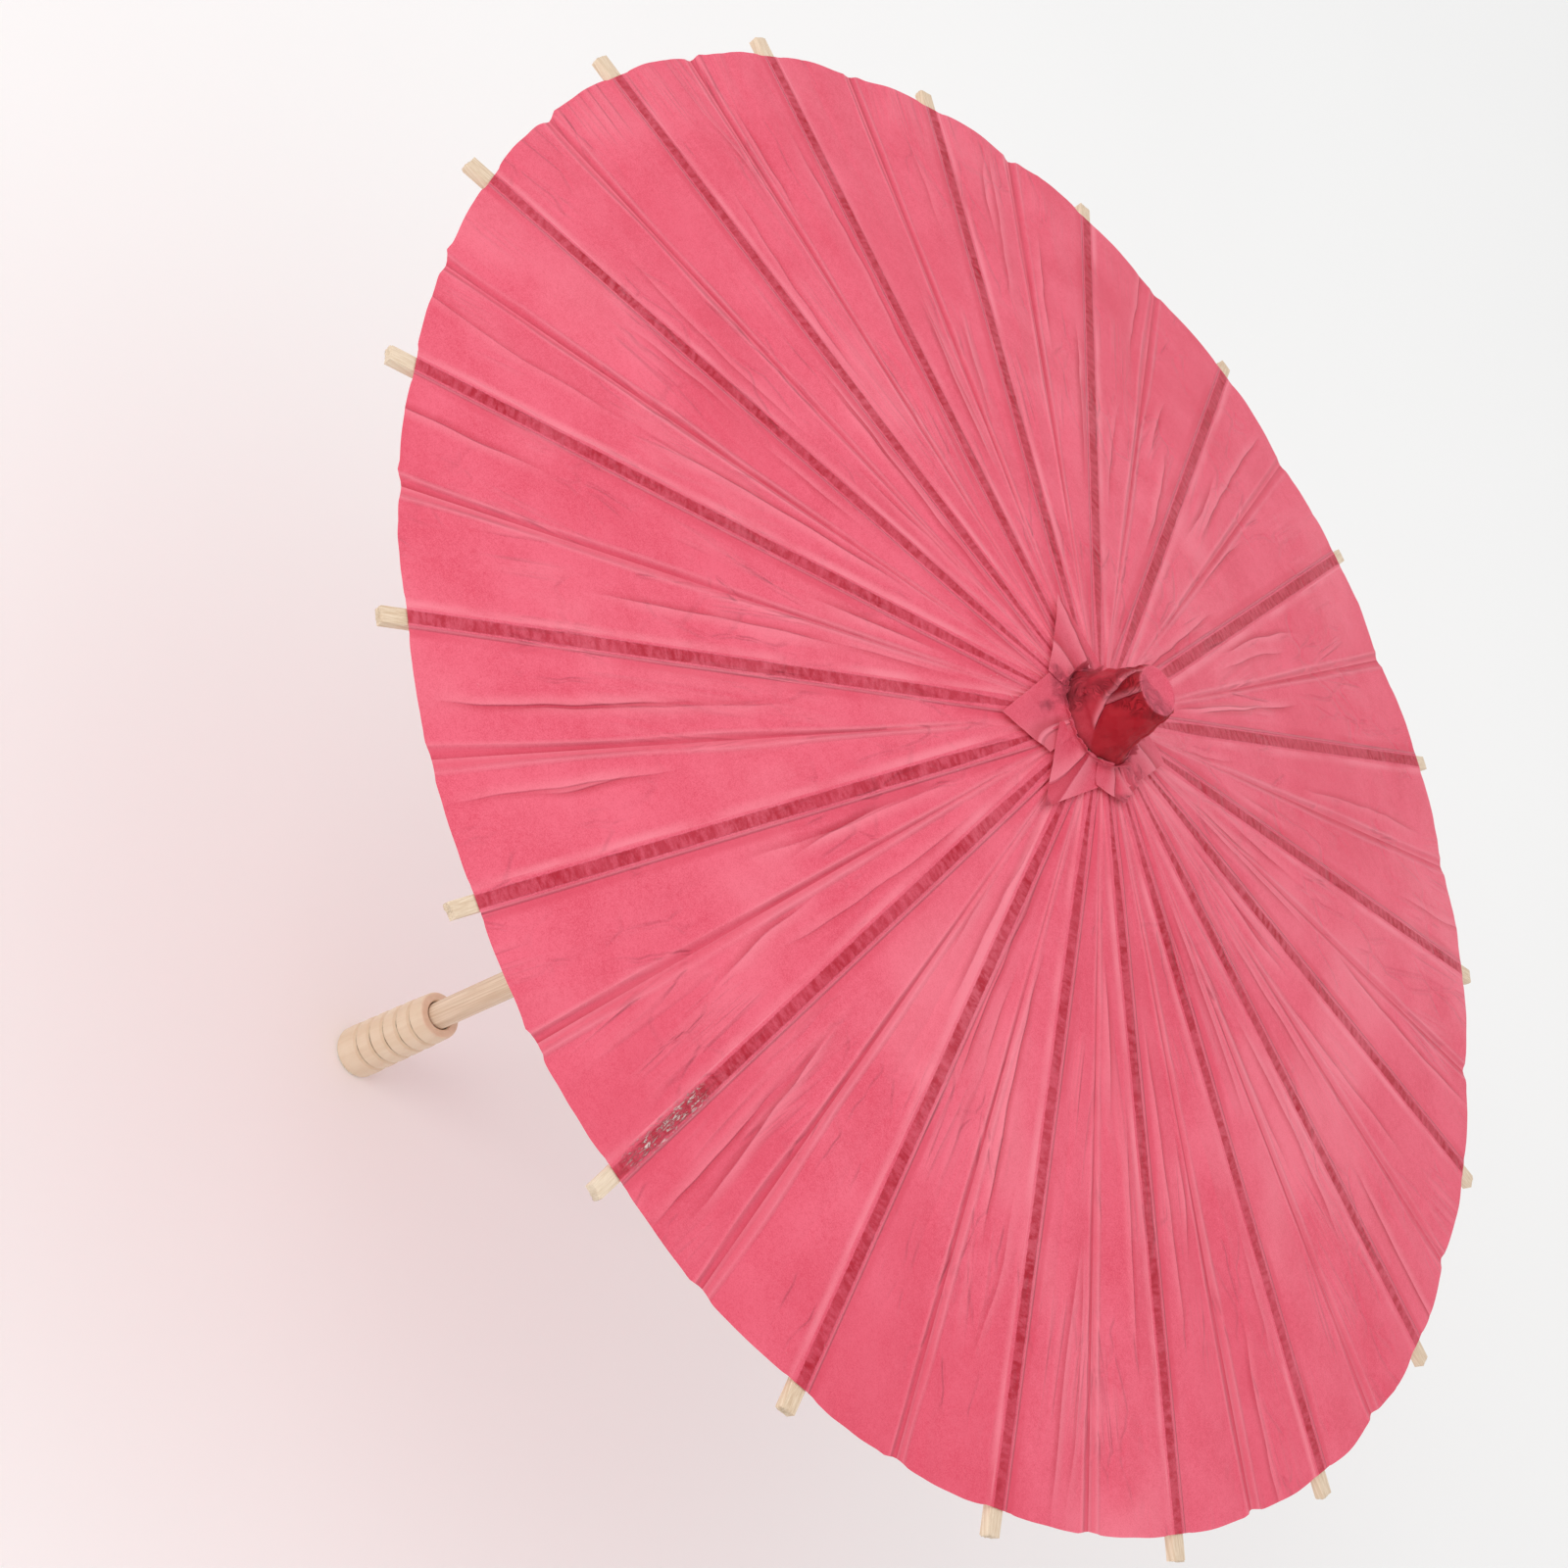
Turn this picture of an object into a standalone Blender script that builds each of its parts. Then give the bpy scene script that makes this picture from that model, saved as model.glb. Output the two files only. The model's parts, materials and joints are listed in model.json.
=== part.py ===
"""Small oil paper umbrella with a folding bamboo frame, modelled open.

The frame is +Z up along the pole, with its origin at the middle of the handle's flat base.
Every rib turns on a wire ring in the hub, every stretcher on a matching ring in the runner.
A stretcher is as long as the stretch of rib between the hub ring and its joint, so the
runner slides straight down the pole as the ribs fold.
"""

import math

import bmesh
import bpy
from mathutils import Matrix, Vector

# Overall sizes, in metres
RIB_COUNT = 19
TOTAL_HEIGHT = 0.315
RIB_LENGTH = 0.198
POLE_RADIUS = 0.0041
HANDLE_HEIGHT = 0.0395

# Angles between a rib and the pole, in degrees
OPEN_ANGLE = 80.7

# Gaps: between pieces that are fixed together, and around pieces that move
GAP = 0.0003
RUNNING_GAP = 0.00015
BORE_GAP = 0.00025

# Hub, runner and their wire rings
PIVOT_RADIUS = 0.0086
PIVOT_DEPTH = 0.0215
EYE_RADIUS = 0.0014
EYE_WIDTH = 0.0013
EYE_CLEARANCE = 0.0008
WIRE_RADIUS = 0.0003
WIRE_HOLE_RADIUS = 0.0005
NOTCH_DEPTH = 0.0023
HUB_TOP_WALL = 0.0011
HUB_BELOW_PIVOT = 0.0036
HUB_SHOULDER = 0.0026
RUNNER_ABOVE_PIVOT = 0.0030
RUNNER_FLANGE = 0.0044
RUNNER_COLLAR_WALL = 0.0035
RUNNER_BELOW_PIVOT = 0.0170
RUNNER_EDGE = 0.0005
PEG_RADIUS = 0.0007
PEG_DEPTH = 0.0105

# Ribs
RIB_WIDTH = 0.0039
RIB_HEIGHT = 0.0026
RIB_NECK = 0.0048
RIB_TAPER_END = 0.052
JOINT_DISTANCE = 0.086
JOINT_DROP = 0.0005
PIN_HOLE_RADIUS = 0.00045

# Stretchers
STRETCHER_WIDTH = 0.0030
STRETCHER_HEIGHT = 0.0022
STRETCHER_NECK = 0.0050
STRETCHER_TAPER_END = 0.036
TONGUE_WIDTH = 0.0015
TONGUE_LENGTH = 0.0115
TONGUE_SHOULDER = 0.0030
SLOT_TOWARDS_HUB = 0.0072
SLOT_TOWARDS_TIP = 0.0115
SLOT_SKIN = 0.0004

# Handle
HANDLE_TOP_RADIUS = 0.0072
HANDLE_BASE_RADIUS = 0.0079
HANDLE_EDGE = 0.0010
HANDLE_CROWN = 0.00015
GROOVE_COUNT = 5
GROOVE_PITCH = 0.0061
GROOVE_DEPTH = 0.0008
GROOVE_HALF_WIDTH = 0.0009
FIRST_GROOVE = 0.0089
SOCKET_FLOOR = 0.0120

# Catch: a bent wire in a slot of the pole, with its nose under the open runner
CATCH_WIRE_RADIUS = 0.00045
CATCH_LENGTH = 0.0220
CATCH_SLOPE = 0.0085
CATCH_REACH = 0.0014
CATCH_INSET = 0.0013
CATCH_TRAVEL = 0.0020
CATCH_AZIMUTH = math.pi
NOSE_BEND = 0.0004

# Paper
PAPER_MARGIN = 0.0060
CANOPY_WALL = 0.0005
CANOPY_HOLE_MARGIN = 0.0016
CREASE_SAG = 0.0008
COVER_WALL = 0.0004
PETAL_COUNT = 8
PETAL_TURN = 15.5
PETAL_RADIUS = 0.0340
PETAL_NOTCH_RADIUS = 0.0220

# Mesh fineness
ROUND_SEGMENTS = 32
RING_SEGMENTS = 38
WIRE_SEGMENTS = 6
HOLE_SEGMENTS = 8
POLE_SEGMENTS = 24
PANEL_STEPS = 4
PEG_SEGMENTS = 12
SHARP_ANGLE = math.radians(30)

# How far a cutter runs past the face it opens
OVERRUN = 0.001

# Places worked out from the sizes
OPEN = math.radians(OPEN_ANGLE)
PIVOT_Z = TOTAL_HEIGHT - PIVOT_DEPTH
STRETCHER_LENGTH = math.hypot(JOINT_DISTANCE, JOINT_DROP)
JOINT_OPEN = OPEN - math.atan2(JOINT_DROP, JOINT_DISTANCE)
RUNNER_Z = PIVOT_Z - 2 * STRETCHER_LENGTH * math.cos(JOINT_OPEN)
JOINT_RADIUS = PIVOT_RADIUS + STRETCHER_LENGTH * math.sin(JOINT_OPEN)
JOINT_Z = PIVOT_Z - STRETCHER_LENGTH * math.cos(JOINT_OPEN)
HUB_TOP_Z = TOTAL_HEIGHT - COVER_WALL - GAP
HUB_TOP_RADIUS = POLE_RADIUS + HUB_TOP_WALL
NOTCHED_RADIUS = PIVOT_RADIUS + NOTCH_DEPTH
RUNNER_COLLAR_RADIUS = POLE_RADIUS + RUNNER_COLLAR_WALL
CANOPY_HOLE_RADIUS = NOTCHED_RADIUS + CANOPY_HOLE_MARGIN
COVER_TOP_RADIUS = HUB_TOP_RADIUS + GAP + COVER_WALL
NOTCH_WIDTH = EYE_WIDTH + 2 * RUNNING_GAP
NOTCH_FLOOR_RADIUS = PIVOT_RADIUS - EYE_RADIUS - EYE_CLEARANCE
POLE_BORE_RADIUS = POLE_RADIUS + GAP
RUNNER_BORE_RADIUS = POLE_RADIUS + BORE_GAP
CATCH_TOP_Z = RUNNER_Z - RUNNER_BELOW_PIVOT - GAP - CATCH_WIRE_RADIUS
PAPER_RADIUS = PIVOT_RADIUS + (RIB_LENGTH - PAPER_MARGIN) * math.sin(OPEN)


def clear_scene():
    for item in list(bpy.data.objects):
        bpy.data.objects.remove(item)


def finish(name, colour, roughness, metallic=0.0):
    """A plain material with one colour."""
    material = bpy.data.materials.new(name)
    material.use_nodes = True
    shader = material.node_tree.nodes["Principled BSDF"]
    shader.inputs["Base Color"].default_value = (*colour, 1.0)
    shader.inputs["Roughness"].default_value = roughness
    shader.inputs["Metallic"].default_value = metallic
    material.diffuse_color = (*colour, 1.0)
    return material


def add_object(name, mesh, material=None):
    item = bpy.data.objects.new(name, mesh)
    bpy.context.scene.collection.objects.link(item)
    if material:
        mesh.materials.clear()
        mesh.materials.append(material)
    return item


def mesh_of(name, shape):
    """Turn a bmesh into a mesh whose faces point outwards."""
    bmesh.ops.recalc_face_normals(shape, faces=shape.faces)
    mesh = bpy.data.meshes.new(name)
    shape.to_mesh(mesh)
    shape.free()
    return mesh


def lofted(name, sections, closed=False):
    """Skin a row of matching loops, then cap both ends or join the last loop to the first."""
    count = len(sections[0])
    rows = len(sections)
    shape = bmesh.new()
    loops = [[shape.verts.new(point) for point in section] for section in sections]
    for row in range(rows if closed else rows - 1):
        here = loops[row]
        there = loops[(row + 1) % rows]
        for k in range(count):
            after = (k + 1) % count
            shape.faces.new((here[k], here[after], there[after], there[k]))
    if not closed:
        shape.faces.new(loops[0])
        shape.faces.new(loops[-1])
    return mesh_of(name, shape)


def turned(name, profile, segments=ROUND_SEGMENTS, closed=False):
    """Spin an outline of (radius, height) points round the pole's axis."""
    shape = bmesh.new()
    points = [shape.verts.new((radius, 0.0, height)) for radius, height in profile]
    edges = [shape.edges.new(pair) for pair in zip(points, points[1:])]
    if closed:
        edges.append(shape.edges.new((points[-1], points[0])))
    bmesh.ops.spin(
        shape,
        geom=points + edges,
        axis=(0.0, 0.0, 1.0),
        cent=(0.0, 0.0, 0.0),
        steps=segments,
        angle=2 * math.pi,
    )
    bmesh.ops.remove_doubles(shape, verts=shape.verts, dist=1e-7)
    mesh = mesh_of(name, shape)
    mesh.shade_smooth()
    mesh.set_sharp_from_angle(angle=SHARP_ANGLE)
    return mesh


def boxes(name, corners, turns=1):
    """One box between two corners, repeated evenly round the pole's axis."""
    low, high = (Vector(corner) for corner in corners)
    shape = bmesh.new()
    for turn in range(turns):
        placed = Matrix.Rotation(2 * math.pi * turn / turns, 4, "Z")
        placed = placed @ Matrix.Translation((low + high) / 2)
        placed = placed @ Matrix.Diagonal((*(high - low), 1.0))
        bmesh.ops.create_cube(shape, size=1.0, matrix=placed)
    return mesh_of(name, shape)


def crosswise_rod(name, radius, half_length, centre, segments=HOLE_SEGMENTS):
    """A round rod along Y."""
    shape = bmesh.new()
    bmesh.ops.create_cone(
        shape,
        cap_ends=True,
        segments=segments,
        radius1=radius,
        radius2=radius,
        depth=2 * half_length,
        matrix=Matrix.Translation(centre) @ Matrix.Rotation(math.pi / 2, 4, "X"),
    )
    return mesh_of(name, shape)


def carved(name, blank, cutters):
    """Cut a row of closed meshes out of a blank, one after another."""
    item = add_object(name, blank)
    tools = [add_object(f"{name}_cutter", cutter) for cutter in cutters]
    for tool in tools:
        tool.hide_render = True
        tool.display_type = "WIRE"
        cut = item.modifiers.new("cut", "BOOLEAN")
        cut.operation = "DIFFERENCE"
        cut.object = tool
    evaluated = item.evaluated_get(bpy.context.evaluated_depsgraph_get())
    mesh = bpy.data.meshes.new_from_object(evaluated)
    mesh.name = name
    for used in [item, *tools]:
        bpy.data.objects.remove(used)
    return mesh


def wire_ring(name, height):
    """The wire that the eyes of the ribs or stretchers are threaded on."""
    turns = [2 * math.pi * k / WIRE_SEGMENTS for k in range(WIRE_SEGMENTS)]
    profile = [
        (PIVOT_RADIUS + WIRE_RADIUS * math.cos(a), height + WIRE_RADIUS * math.sin(a))
        for a in turns
    ]
    return turned(name, profile, segments=RING_SEGMENTS, closed=True)


def wire_groove(height):
    """Cutter for the groove that lets the wire into the notched rim."""
    inner = PIVOT_RADIUS - WIRE_RADIUS - RUNNING_GAP
    outer = NOTCHED_RADIUS + OVERRUN
    half = WIRE_RADIUS + RUNNING_GAP
    profile = [
        (inner, height - half),
        (outer, height - half),
        (outer, height + half),
        (inner, height + half),
    ]
    return turned("groove", profile, closed=True)


def notches(low, high):
    """Cutter for the ring of notches that the eyes swing in."""
    corners = (
        (NOTCH_FLOOR_RADIUS, -NOTCH_WIDTH / 2, low),
        (NOTCHED_RADIUS + OVERRUN, NOTCH_WIDTH / 2, high),
    )
    return boxes("notches", corners, turns=RIB_COUNT)


def height_above_rib(radius, lift):
    """Height of the surface that lies a lift above the middle line of an open rib."""
    return PIVOT_Z - (radius - PIVOT_RADIUS) / math.tan(OPEN) + lift / math.sin(OPEN)


def handle_mesh():
    """Turned grip with V grooves, a rounded base and a socket for the pole."""

    def radius_at(height):
        share = height / HANDLE_HEIGHT
        return HANDLE_BASE_RADIUS + share * (HANDLE_TOP_RADIUS - HANDLE_BASE_RADIUS)

    profile = [(0.0, 0.0)]
    for step in range(4):
        angle = math.radians(-90 + 30 * step)
        profile.append(
            (
                radius_at(0.0) - HANDLE_EDGE + HANDLE_EDGE * math.cos(angle),
                HANDLE_EDGE + HANDLE_EDGE * math.sin(angle),
            )
        )
    for groove in range(GROOVE_COUNT):
        middle = FIRST_GROOVE + groove * GROOVE_PITCH
        below = middle - GROOVE_PITCH / 2
        profile += [
            (radius_at(below) + HANDLE_CROWN, below),
            (radius_at(middle), middle - GROOVE_HALF_WIDTH),
            (radius_at(middle) - GROOVE_DEPTH, middle),
            (radius_at(middle), middle + GROOVE_HALF_WIDTH),
        ]
    profile += [
        (HANDLE_TOP_RADIUS, HANDLE_HEIGHT - HANDLE_EDGE / 2),
        (HANDLE_TOP_RADIUS - HANDLE_EDGE / 2, HANDLE_HEIGHT),
        (POLE_BORE_RADIUS, HANDLE_HEIGHT),
        (POLE_BORE_RADIUS, SOCKET_FLOOR),
        (0.0, SOCKET_FLOOR),
    ]
    return turned("handle", profile)


def catch_path():
    """Middle line of the bent catch wire as (distance from the pole's axis, height)."""
    nose = POLE_RADIUS + CATCH_REACH
    return [
        (CATCH_INSET, CATCH_TOP_Z - CATCH_LENGTH),
        (CATCH_INSET, CATCH_TOP_Z - CATCH_SLOPE),
        (nose - NOSE_BEND, CATCH_TOP_Z - 2 * NOSE_BEND),
        (nose, CATCH_TOP_Z - NOSE_BEND),
        (nose - NOSE_BEND, CATCH_TOP_Z),
        (CATCH_INSET, CATCH_TOP_Z),
    ]


def pole_mesh():
    """Straight pole with a slot for the catch and a cross hole for the hub's peg."""
    blank = turned(
        "pole",
        [
            (0.0, SOCKET_FLOOR + GAP),
            (POLE_RADIUS, SOCKET_FLOOR + GAP),
            (POLE_RADIUS, HUB_TOP_Z),
            (0.0, HUB_TOP_Z),
        ],
        segments=POLE_SEGMENTS,
    )
    room = CATCH_WIRE_RADIUS + GAP
    corners = (
        (-POLE_RADIUS - OVERRUN, -room, CATCH_TOP_Z - CATCH_LENGTH - room),
        (CATCH_TRAVEL + room - CATCH_INSET, room, CATCH_TOP_Z + room),
    )
    peg_hole = crosswise_rod(
        "peg_hole", PEG_RADIUS + GAP, 2 * POLE_RADIUS, (0.0, 0.0, HUB_TOP_Z - PEG_DEPTH)
    )
    return carved("pole", blank, [boxes("catch_slot", corners), peg_hole])


def hub_radius(height):
    """Radius of the hub's cone at a height."""
    shoulder = PIVOT_Z + HUB_SHOULDER
    share = (HUB_TOP_Z - height) / (HUB_TOP_Z - shoulder)
    return HUB_TOP_RADIUS + share * (NOTCHED_RADIUS - HUB_TOP_RADIUS)


def hub_mesh():
    """Turned wooden cone with a notch for each rib round its lower rim."""
    bottom = PIVOT_Z - HUB_BELOW_PIVOT
    blank = turned(
        "hub",
        [
            (POLE_BORE_RADIUS, HUB_TOP_Z),
            (HUB_TOP_RADIUS, HUB_TOP_Z),
            (NOTCHED_RADIUS, PIVOT_Z + HUB_SHOULDER),
            (NOTCHED_RADIUS, bottom),
            (POLE_BORE_RADIUS, bottom),
        ],
        closed=True,
    )
    top_of_notch = PIVOT_Z + EYE_RADIUS + 2 * GAP
    peg_hole = crosswise_rod(
        "peg_hole",
        PEG_RADIUS + GAP,
        2 * NOTCHED_RADIUS,
        (0.0, 0.0, HUB_TOP_Z - PEG_DEPTH),
    )
    cutters = [notches(bottom - OVERRUN, top_of_notch), wire_groove(PIVOT_Z), peg_hole]
    return carved("hub", blank, cutters)


def runner_mesh():
    """Turned sliding collar with a notch for each stretcher round its upper rim."""
    bottom = RUNNER_Z - RUNNER_BELOW_PIVOT
    top = RUNNER_Z + RUNNER_ABOVE_PIVOT
    flange = RUNNER_Z - RUNNER_FLANGE
    blank = turned(
        "runner",
        [
            (RUNNER_BORE_RADIUS, top),
            (NOTCHED_RADIUS, top),
            (NOTCHED_RADIUS, flange + RUNNER_EDGE),
            (NOTCHED_RADIUS - RUNNER_EDGE, flange),
            (RUNNER_COLLAR_RADIUS, flange - 4 * RUNNER_EDGE),
            (RUNNER_COLLAR_RADIUS, bottom + RUNNER_EDGE),
            (RUNNER_COLLAR_RADIUS - RUNNER_EDGE, bottom),
            (RUNNER_BORE_RADIUS, bottom),
        ],
        closed=True,
    )
    floor_of_notch = RUNNER_Z - EYE_RADIUS - 2 * GAP
    cutters = [notches(floor_of_notch, top + OVERRUN), wire_groove(RUNNER_Z)]
    return carved("runner", blank, cutters)


def slat(name, stations):
    """A straight bamboo slat from (distance, half width, half height) stations."""
    sections = [
        [
            (distance, -width, -height),
            (distance, width, -height),
            (distance, width, height),
            (distance, -width, height),
        ]
        for distance, width, height in stations
    ]
    return lofted(name, sections)


def eye_stations(radius, half_width):
    """Rounded end of a slat, centred on its pivot."""
    angles = [math.radians(turn) for turn in (157.5, 135.0, 112.5, 90.0)]
    return [(radius * math.cos(a), half_width, radius * math.sin(a)) for a in angles]


def rib_mesh():
    """A long rib along +X from its eye: it thickens past the hub and is slotted at its joint."""
    stations = eye_stations(EYE_RADIUS, EYE_WIDTH / 2) + [
        (RIB_NECK, EYE_WIDTH / 2, RIB_HEIGHT / 2),
        (RIB_TAPER_END, RIB_WIDTH / 2, RIB_HEIGHT / 2),
        (RIB_LENGTH, RIB_WIDTH / 2, RIB_HEIGHT / 2),
    ]
    eye = crosswise_rod("eye", WIRE_HOLE_RADIUS, EYE_WIDTH, (0.0, 0.0, 0.0))
    joint = (JOINT_DISTANCE, 0.0, -JOINT_DROP)
    pin = crosswise_rod("pin_hole", PIN_HOLE_RADIUS, RIB_WIDTH, joint)
    half_slot = TONGUE_WIDTH / 2 + RUNNING_GAP
    corners = (
        (JOINT_DISTANCE - SLOT_TOWARDS_HUB, -half_slot, -RIB_HEIGHT),
        (JOINT_DISTANCE + SLOT_TOWARDS_TIP, half_slot, RIB_HEIGHT / 2 - SLOT_SKIN),
    )
    return carved("rib", slat("rib", stations), [eye, boxes("slot", corners), pin])


def stretcher_mesh():
    """A stretcher along +X from its joint in the rib to its eye in the runner."""
    half = STRETCHER_WIDTH / 2
    middle = [
        (0.0, TONGUE_WIDTH / 2, STRETCHER_HEIGHT / 2),
        (TONGUE_LENGTH, TONGUE_WIDTH / 2, STRETCHER_HEIGHT / 2),
        (TONGUE_LENGTH + TONGUE_SHOULDER, half, STRETCHER_HEIGHT / 2),
        (STRETCHER_LENGTH - STRETCHER_TAPER_END, half, STRETCHER_HEIGHT / 2),
        (STRETCHER_LENGTH - STRETCHER_NECK, EYE_WIDTH / 2, STRETCHER_HEIGHT / 2),
    ]
    tongue = eye_stations(STRETCHER_HEIGHT / 2, TONGUE_WIDTH / 2)[:-1]
    eye = [
        (STRETCHER_LENGTH - distance, width, height)
        for distance, width, height in reversed(eye_stations(EYE_RADIUS, EYE_WIDTH / 2))
    ]
    joint_hole = crosswise_rod("pin_hole", PIN_HOLE_RADIUS, STRETCHER_WIDTH, (0, 0, 0))
    eye_hole = crosswise_rod(
        "eye", WIRE_HOLE_RADIUS, EYE_WIDTH, (STRETCHER_LENGTH, 0.0, 0.0)
    )
    return carved(
        "stretcher", slat("stretcher", tongue + middle + eye), [joint_hole, eye_hole]
    )


def canopy_mesh():
    """The open paper: a round disc pulled into one flat panel between each pair of ribs."""
    half_panel = math.pi / RIB_COUNT
    corners = RIB_COUNT * PANEL_STEPS

    def ring(radius, lift):
        points = []
        for k in range(corners):
            azimuth = 2 * math.pi * k / corners
            from_crease = abs(2 * (k % PANEL_STEPS) / PANEL_STEPS - 1)
            reach = radius * math.cos(from_crease * half_panel) / math.cos(half_panel)
            sag = CREASE_SAG * (1 - from_crease) * radius / PAPER_RADIUS
            height = height_above_rib(reach, lift) - sag
            points.append((radius * math.cos(azimuth), radius * math.sin(azimuth), height))
        return points

    low = RIB_HEIGHT / 2 + GAP
    high = low + CANOPY_WALL
    sections = [
        ring(CANOPY_HOLE_RADIUS, high),
        ring(PAPER_RADIUS, high),
        ring(PAPER_RADIUS, low),
        ring(CANOPY_HOLE_RADIUS, low),
    ]
    return lofted("canopy", sections, closed=True)


def head_cover_mesh():
    """Paper wrapped over the hub: a flat-topped cone with a skirt of pointed petals."""
    steps = [2 * math.pi * k / ROUND_SEGMENTS for k in range(ROUND_SEGMENTS)]

    def circle(radius, height):
        return [(radius * math.cos(a), radius * math.sin(a), height) for a in steps]

    def petals(lift):
        points = []
        for angle in steps:
            turned_angle = angle - math.radians(PETAL_TURN)
            phase = turned_angle * PETAL_COUNT / (2 * math.pi) % 1.0
            share = abs(2 * phase - 1)
            radius = PETAL_NOTCH_RADIUS + share * (PETAL_RADIUS - PETAL_NOTCH_RADIUS)
            height = height_above_rib(radius, lift)
            points.append((radius * math.cos(angle), radius * math.sin(angle), height))
        return points

    low = RIB_HEIGHT / 2 + CANOPY_WALL + 2 * GAP
    high = low + COVER_WALL
    neck = NOTCHED_RADIUS + 2 * GAP
    sections = [
        circle(COVER_TOP_RADIUS, TOTAL_HEIGHT),
        circle(neck + COVER_WALL, height_above_rib(neck, high)),
        petals(high),
        petals(low),
        circle(neck, height_above_rib(neck, low)),
        circle(COVER_TOP_RADIUS - COVER_WALL, TOTAL_HEIGHT - COVER_WALL),
    ]
    mesh = lofted("head_cover", sections)
    mesh.shade_smooth()
    mesh.set_sharp_from_angle(angle=SHARP_ANGLE)
    return mesh


def add_fixed_pieces(bamboo, turned_wood, paper, wire):
    add_object("handle", handle_mesh(), turned_wood)
    add_object("pole", pole_mesh(), bamboo)
    add_object("hub", hub_mesh(), turned_wood)
    add_object("hub_wire", wire_ring("hub_wire", PIVOT_Z), wire)
    peg_z = HUB_TOP_Z - PEG_DEPTH
    half_peg = hub_radius(peg_z) - GAP
    peg = crosswise_rod("hub_peg", PEG_RADIUS, half_peg, (0.0, 0.0, peg_z), PEG_SEGMENTS)
    add_object("hub_peg", peg, bamboo)
    add_object("canopy", canopy_mesh(), paper)
    add_object("head_cover", head_cover_mesh(), paper)


def add_runner(turned_wood, wire):
    """The runner and its wire hang on an empty at the first stretcher's eye."""
    joint = bpy.data.objects.new("runner_joint", None)
    joint.location = (PIVOT_RADIUS, 0.0, RUNNER_Z)
    bpy.context.scene.collection.objects.link(joint)
    pieces = [
        add_object("runner", runner_mesh(), turned_wood),
        add_object("runner_wire", wire_ring("runner_wire", RUNNER_Z), wire),
    ]
    for piece in pieces:
        piece.parent = joint
        piece.matrix_parent_inverse = Matrix.Translation(-joint.location)


def add_catch(wire):
    """The catch wire, with its origin at the end that is driven into the pole."""
    path = catch_path()
    foot = Vector((path[0][0], 0.0, path[0][1]))
    curve = bpy.data.curves.new("catch", "CURVE")
    curve.dimensions = "3D"
    curve.bevel_depth = CATCH_WIRE_RADIUS
    curve.bevel_resolution = 1
    curve.use_fill_caps = True
    spline = curve.splines.new("POLY")
    spline.points.add(len(path) - 1)
    for point, (distance, height) in zip(spline.points, path):
        point.co = (distance - foot.x, 0.0, height - foot.z, 1.0)
    item = add_object("catch", curve)
    item.rotation_euler = (0.0, 0.0, CATCH_AZIMUTH)
    item.location = Matrix.Rotation(CATCH_AZIMUTH, 3, "Z") @ foot
    curve.materials.append(wire)


def add_ribs(bamboo):
    """Each rib and its stretcher, turned to its place round the pole."""
    rib = rib_mesh()
    stretcher = stretcher_mesh()
    for number in range(RIB_COUNT):
        azimuth = 2 * math.pi * number / RIB_COUNT
        turn = Matrix.Rotation(azimuth, 3, "Z")
        long_rib = add_object(f"rib_{number + 1:02d}", rib, bamboo)
        long_rib.location = turn @ Vector((PIVOT_RADIUS, 0.0, PIVOT_Z))
        long_rib.rotation_euler = (0.0, math.pi / 2 - OPEN, azimuth)
        short_rib = add_object(f"stretcher_{number + 1:02d}", stretcher, bamboo)
        short_rib.location = turn @ Vector((JOINT_RADIUS, 0.0, JOINT_Z))
        short_rib.rotation_euler = (0.0, math.pi / 2 + JOINT_OPEN, azimuth)


def main():
    clear_scene()
    bamboo = finish("bamboo", (0.72, 0.54, 0.36), 0.55)
    turned_wood = finish("turned_wood", (0.74, 0.57, 0.39), 0.50)
    paper = finish("oiled_paper", (0.72, 0.10, 0.16), 0.45)
    wire = finish("steel_wire", (0.55, 0.54, 0.52), 0.35, 1.0)
    add_fixed_pieces(bamboo, turned_wood, paper, wire)
    add_runner(turned_wood, wire)
    add_catch(wire)
    add_ribs(bamboo)


main()
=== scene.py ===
"""Looks of a small oil paper umbrella, built round its packed bamboo frame.

The paper is one continuous sheet while the umbrella stands open. It is cut along the glue
lines beside the ribs and along its mid creases, so that each part can ride on its own rib.
"""

import json
import math

import bmesh
import bpy
import numpy as np
from bpy.props import FloatProperty, FloatVectorProperty, PointerProperty
from mathutils import Matrix, Vector


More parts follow.
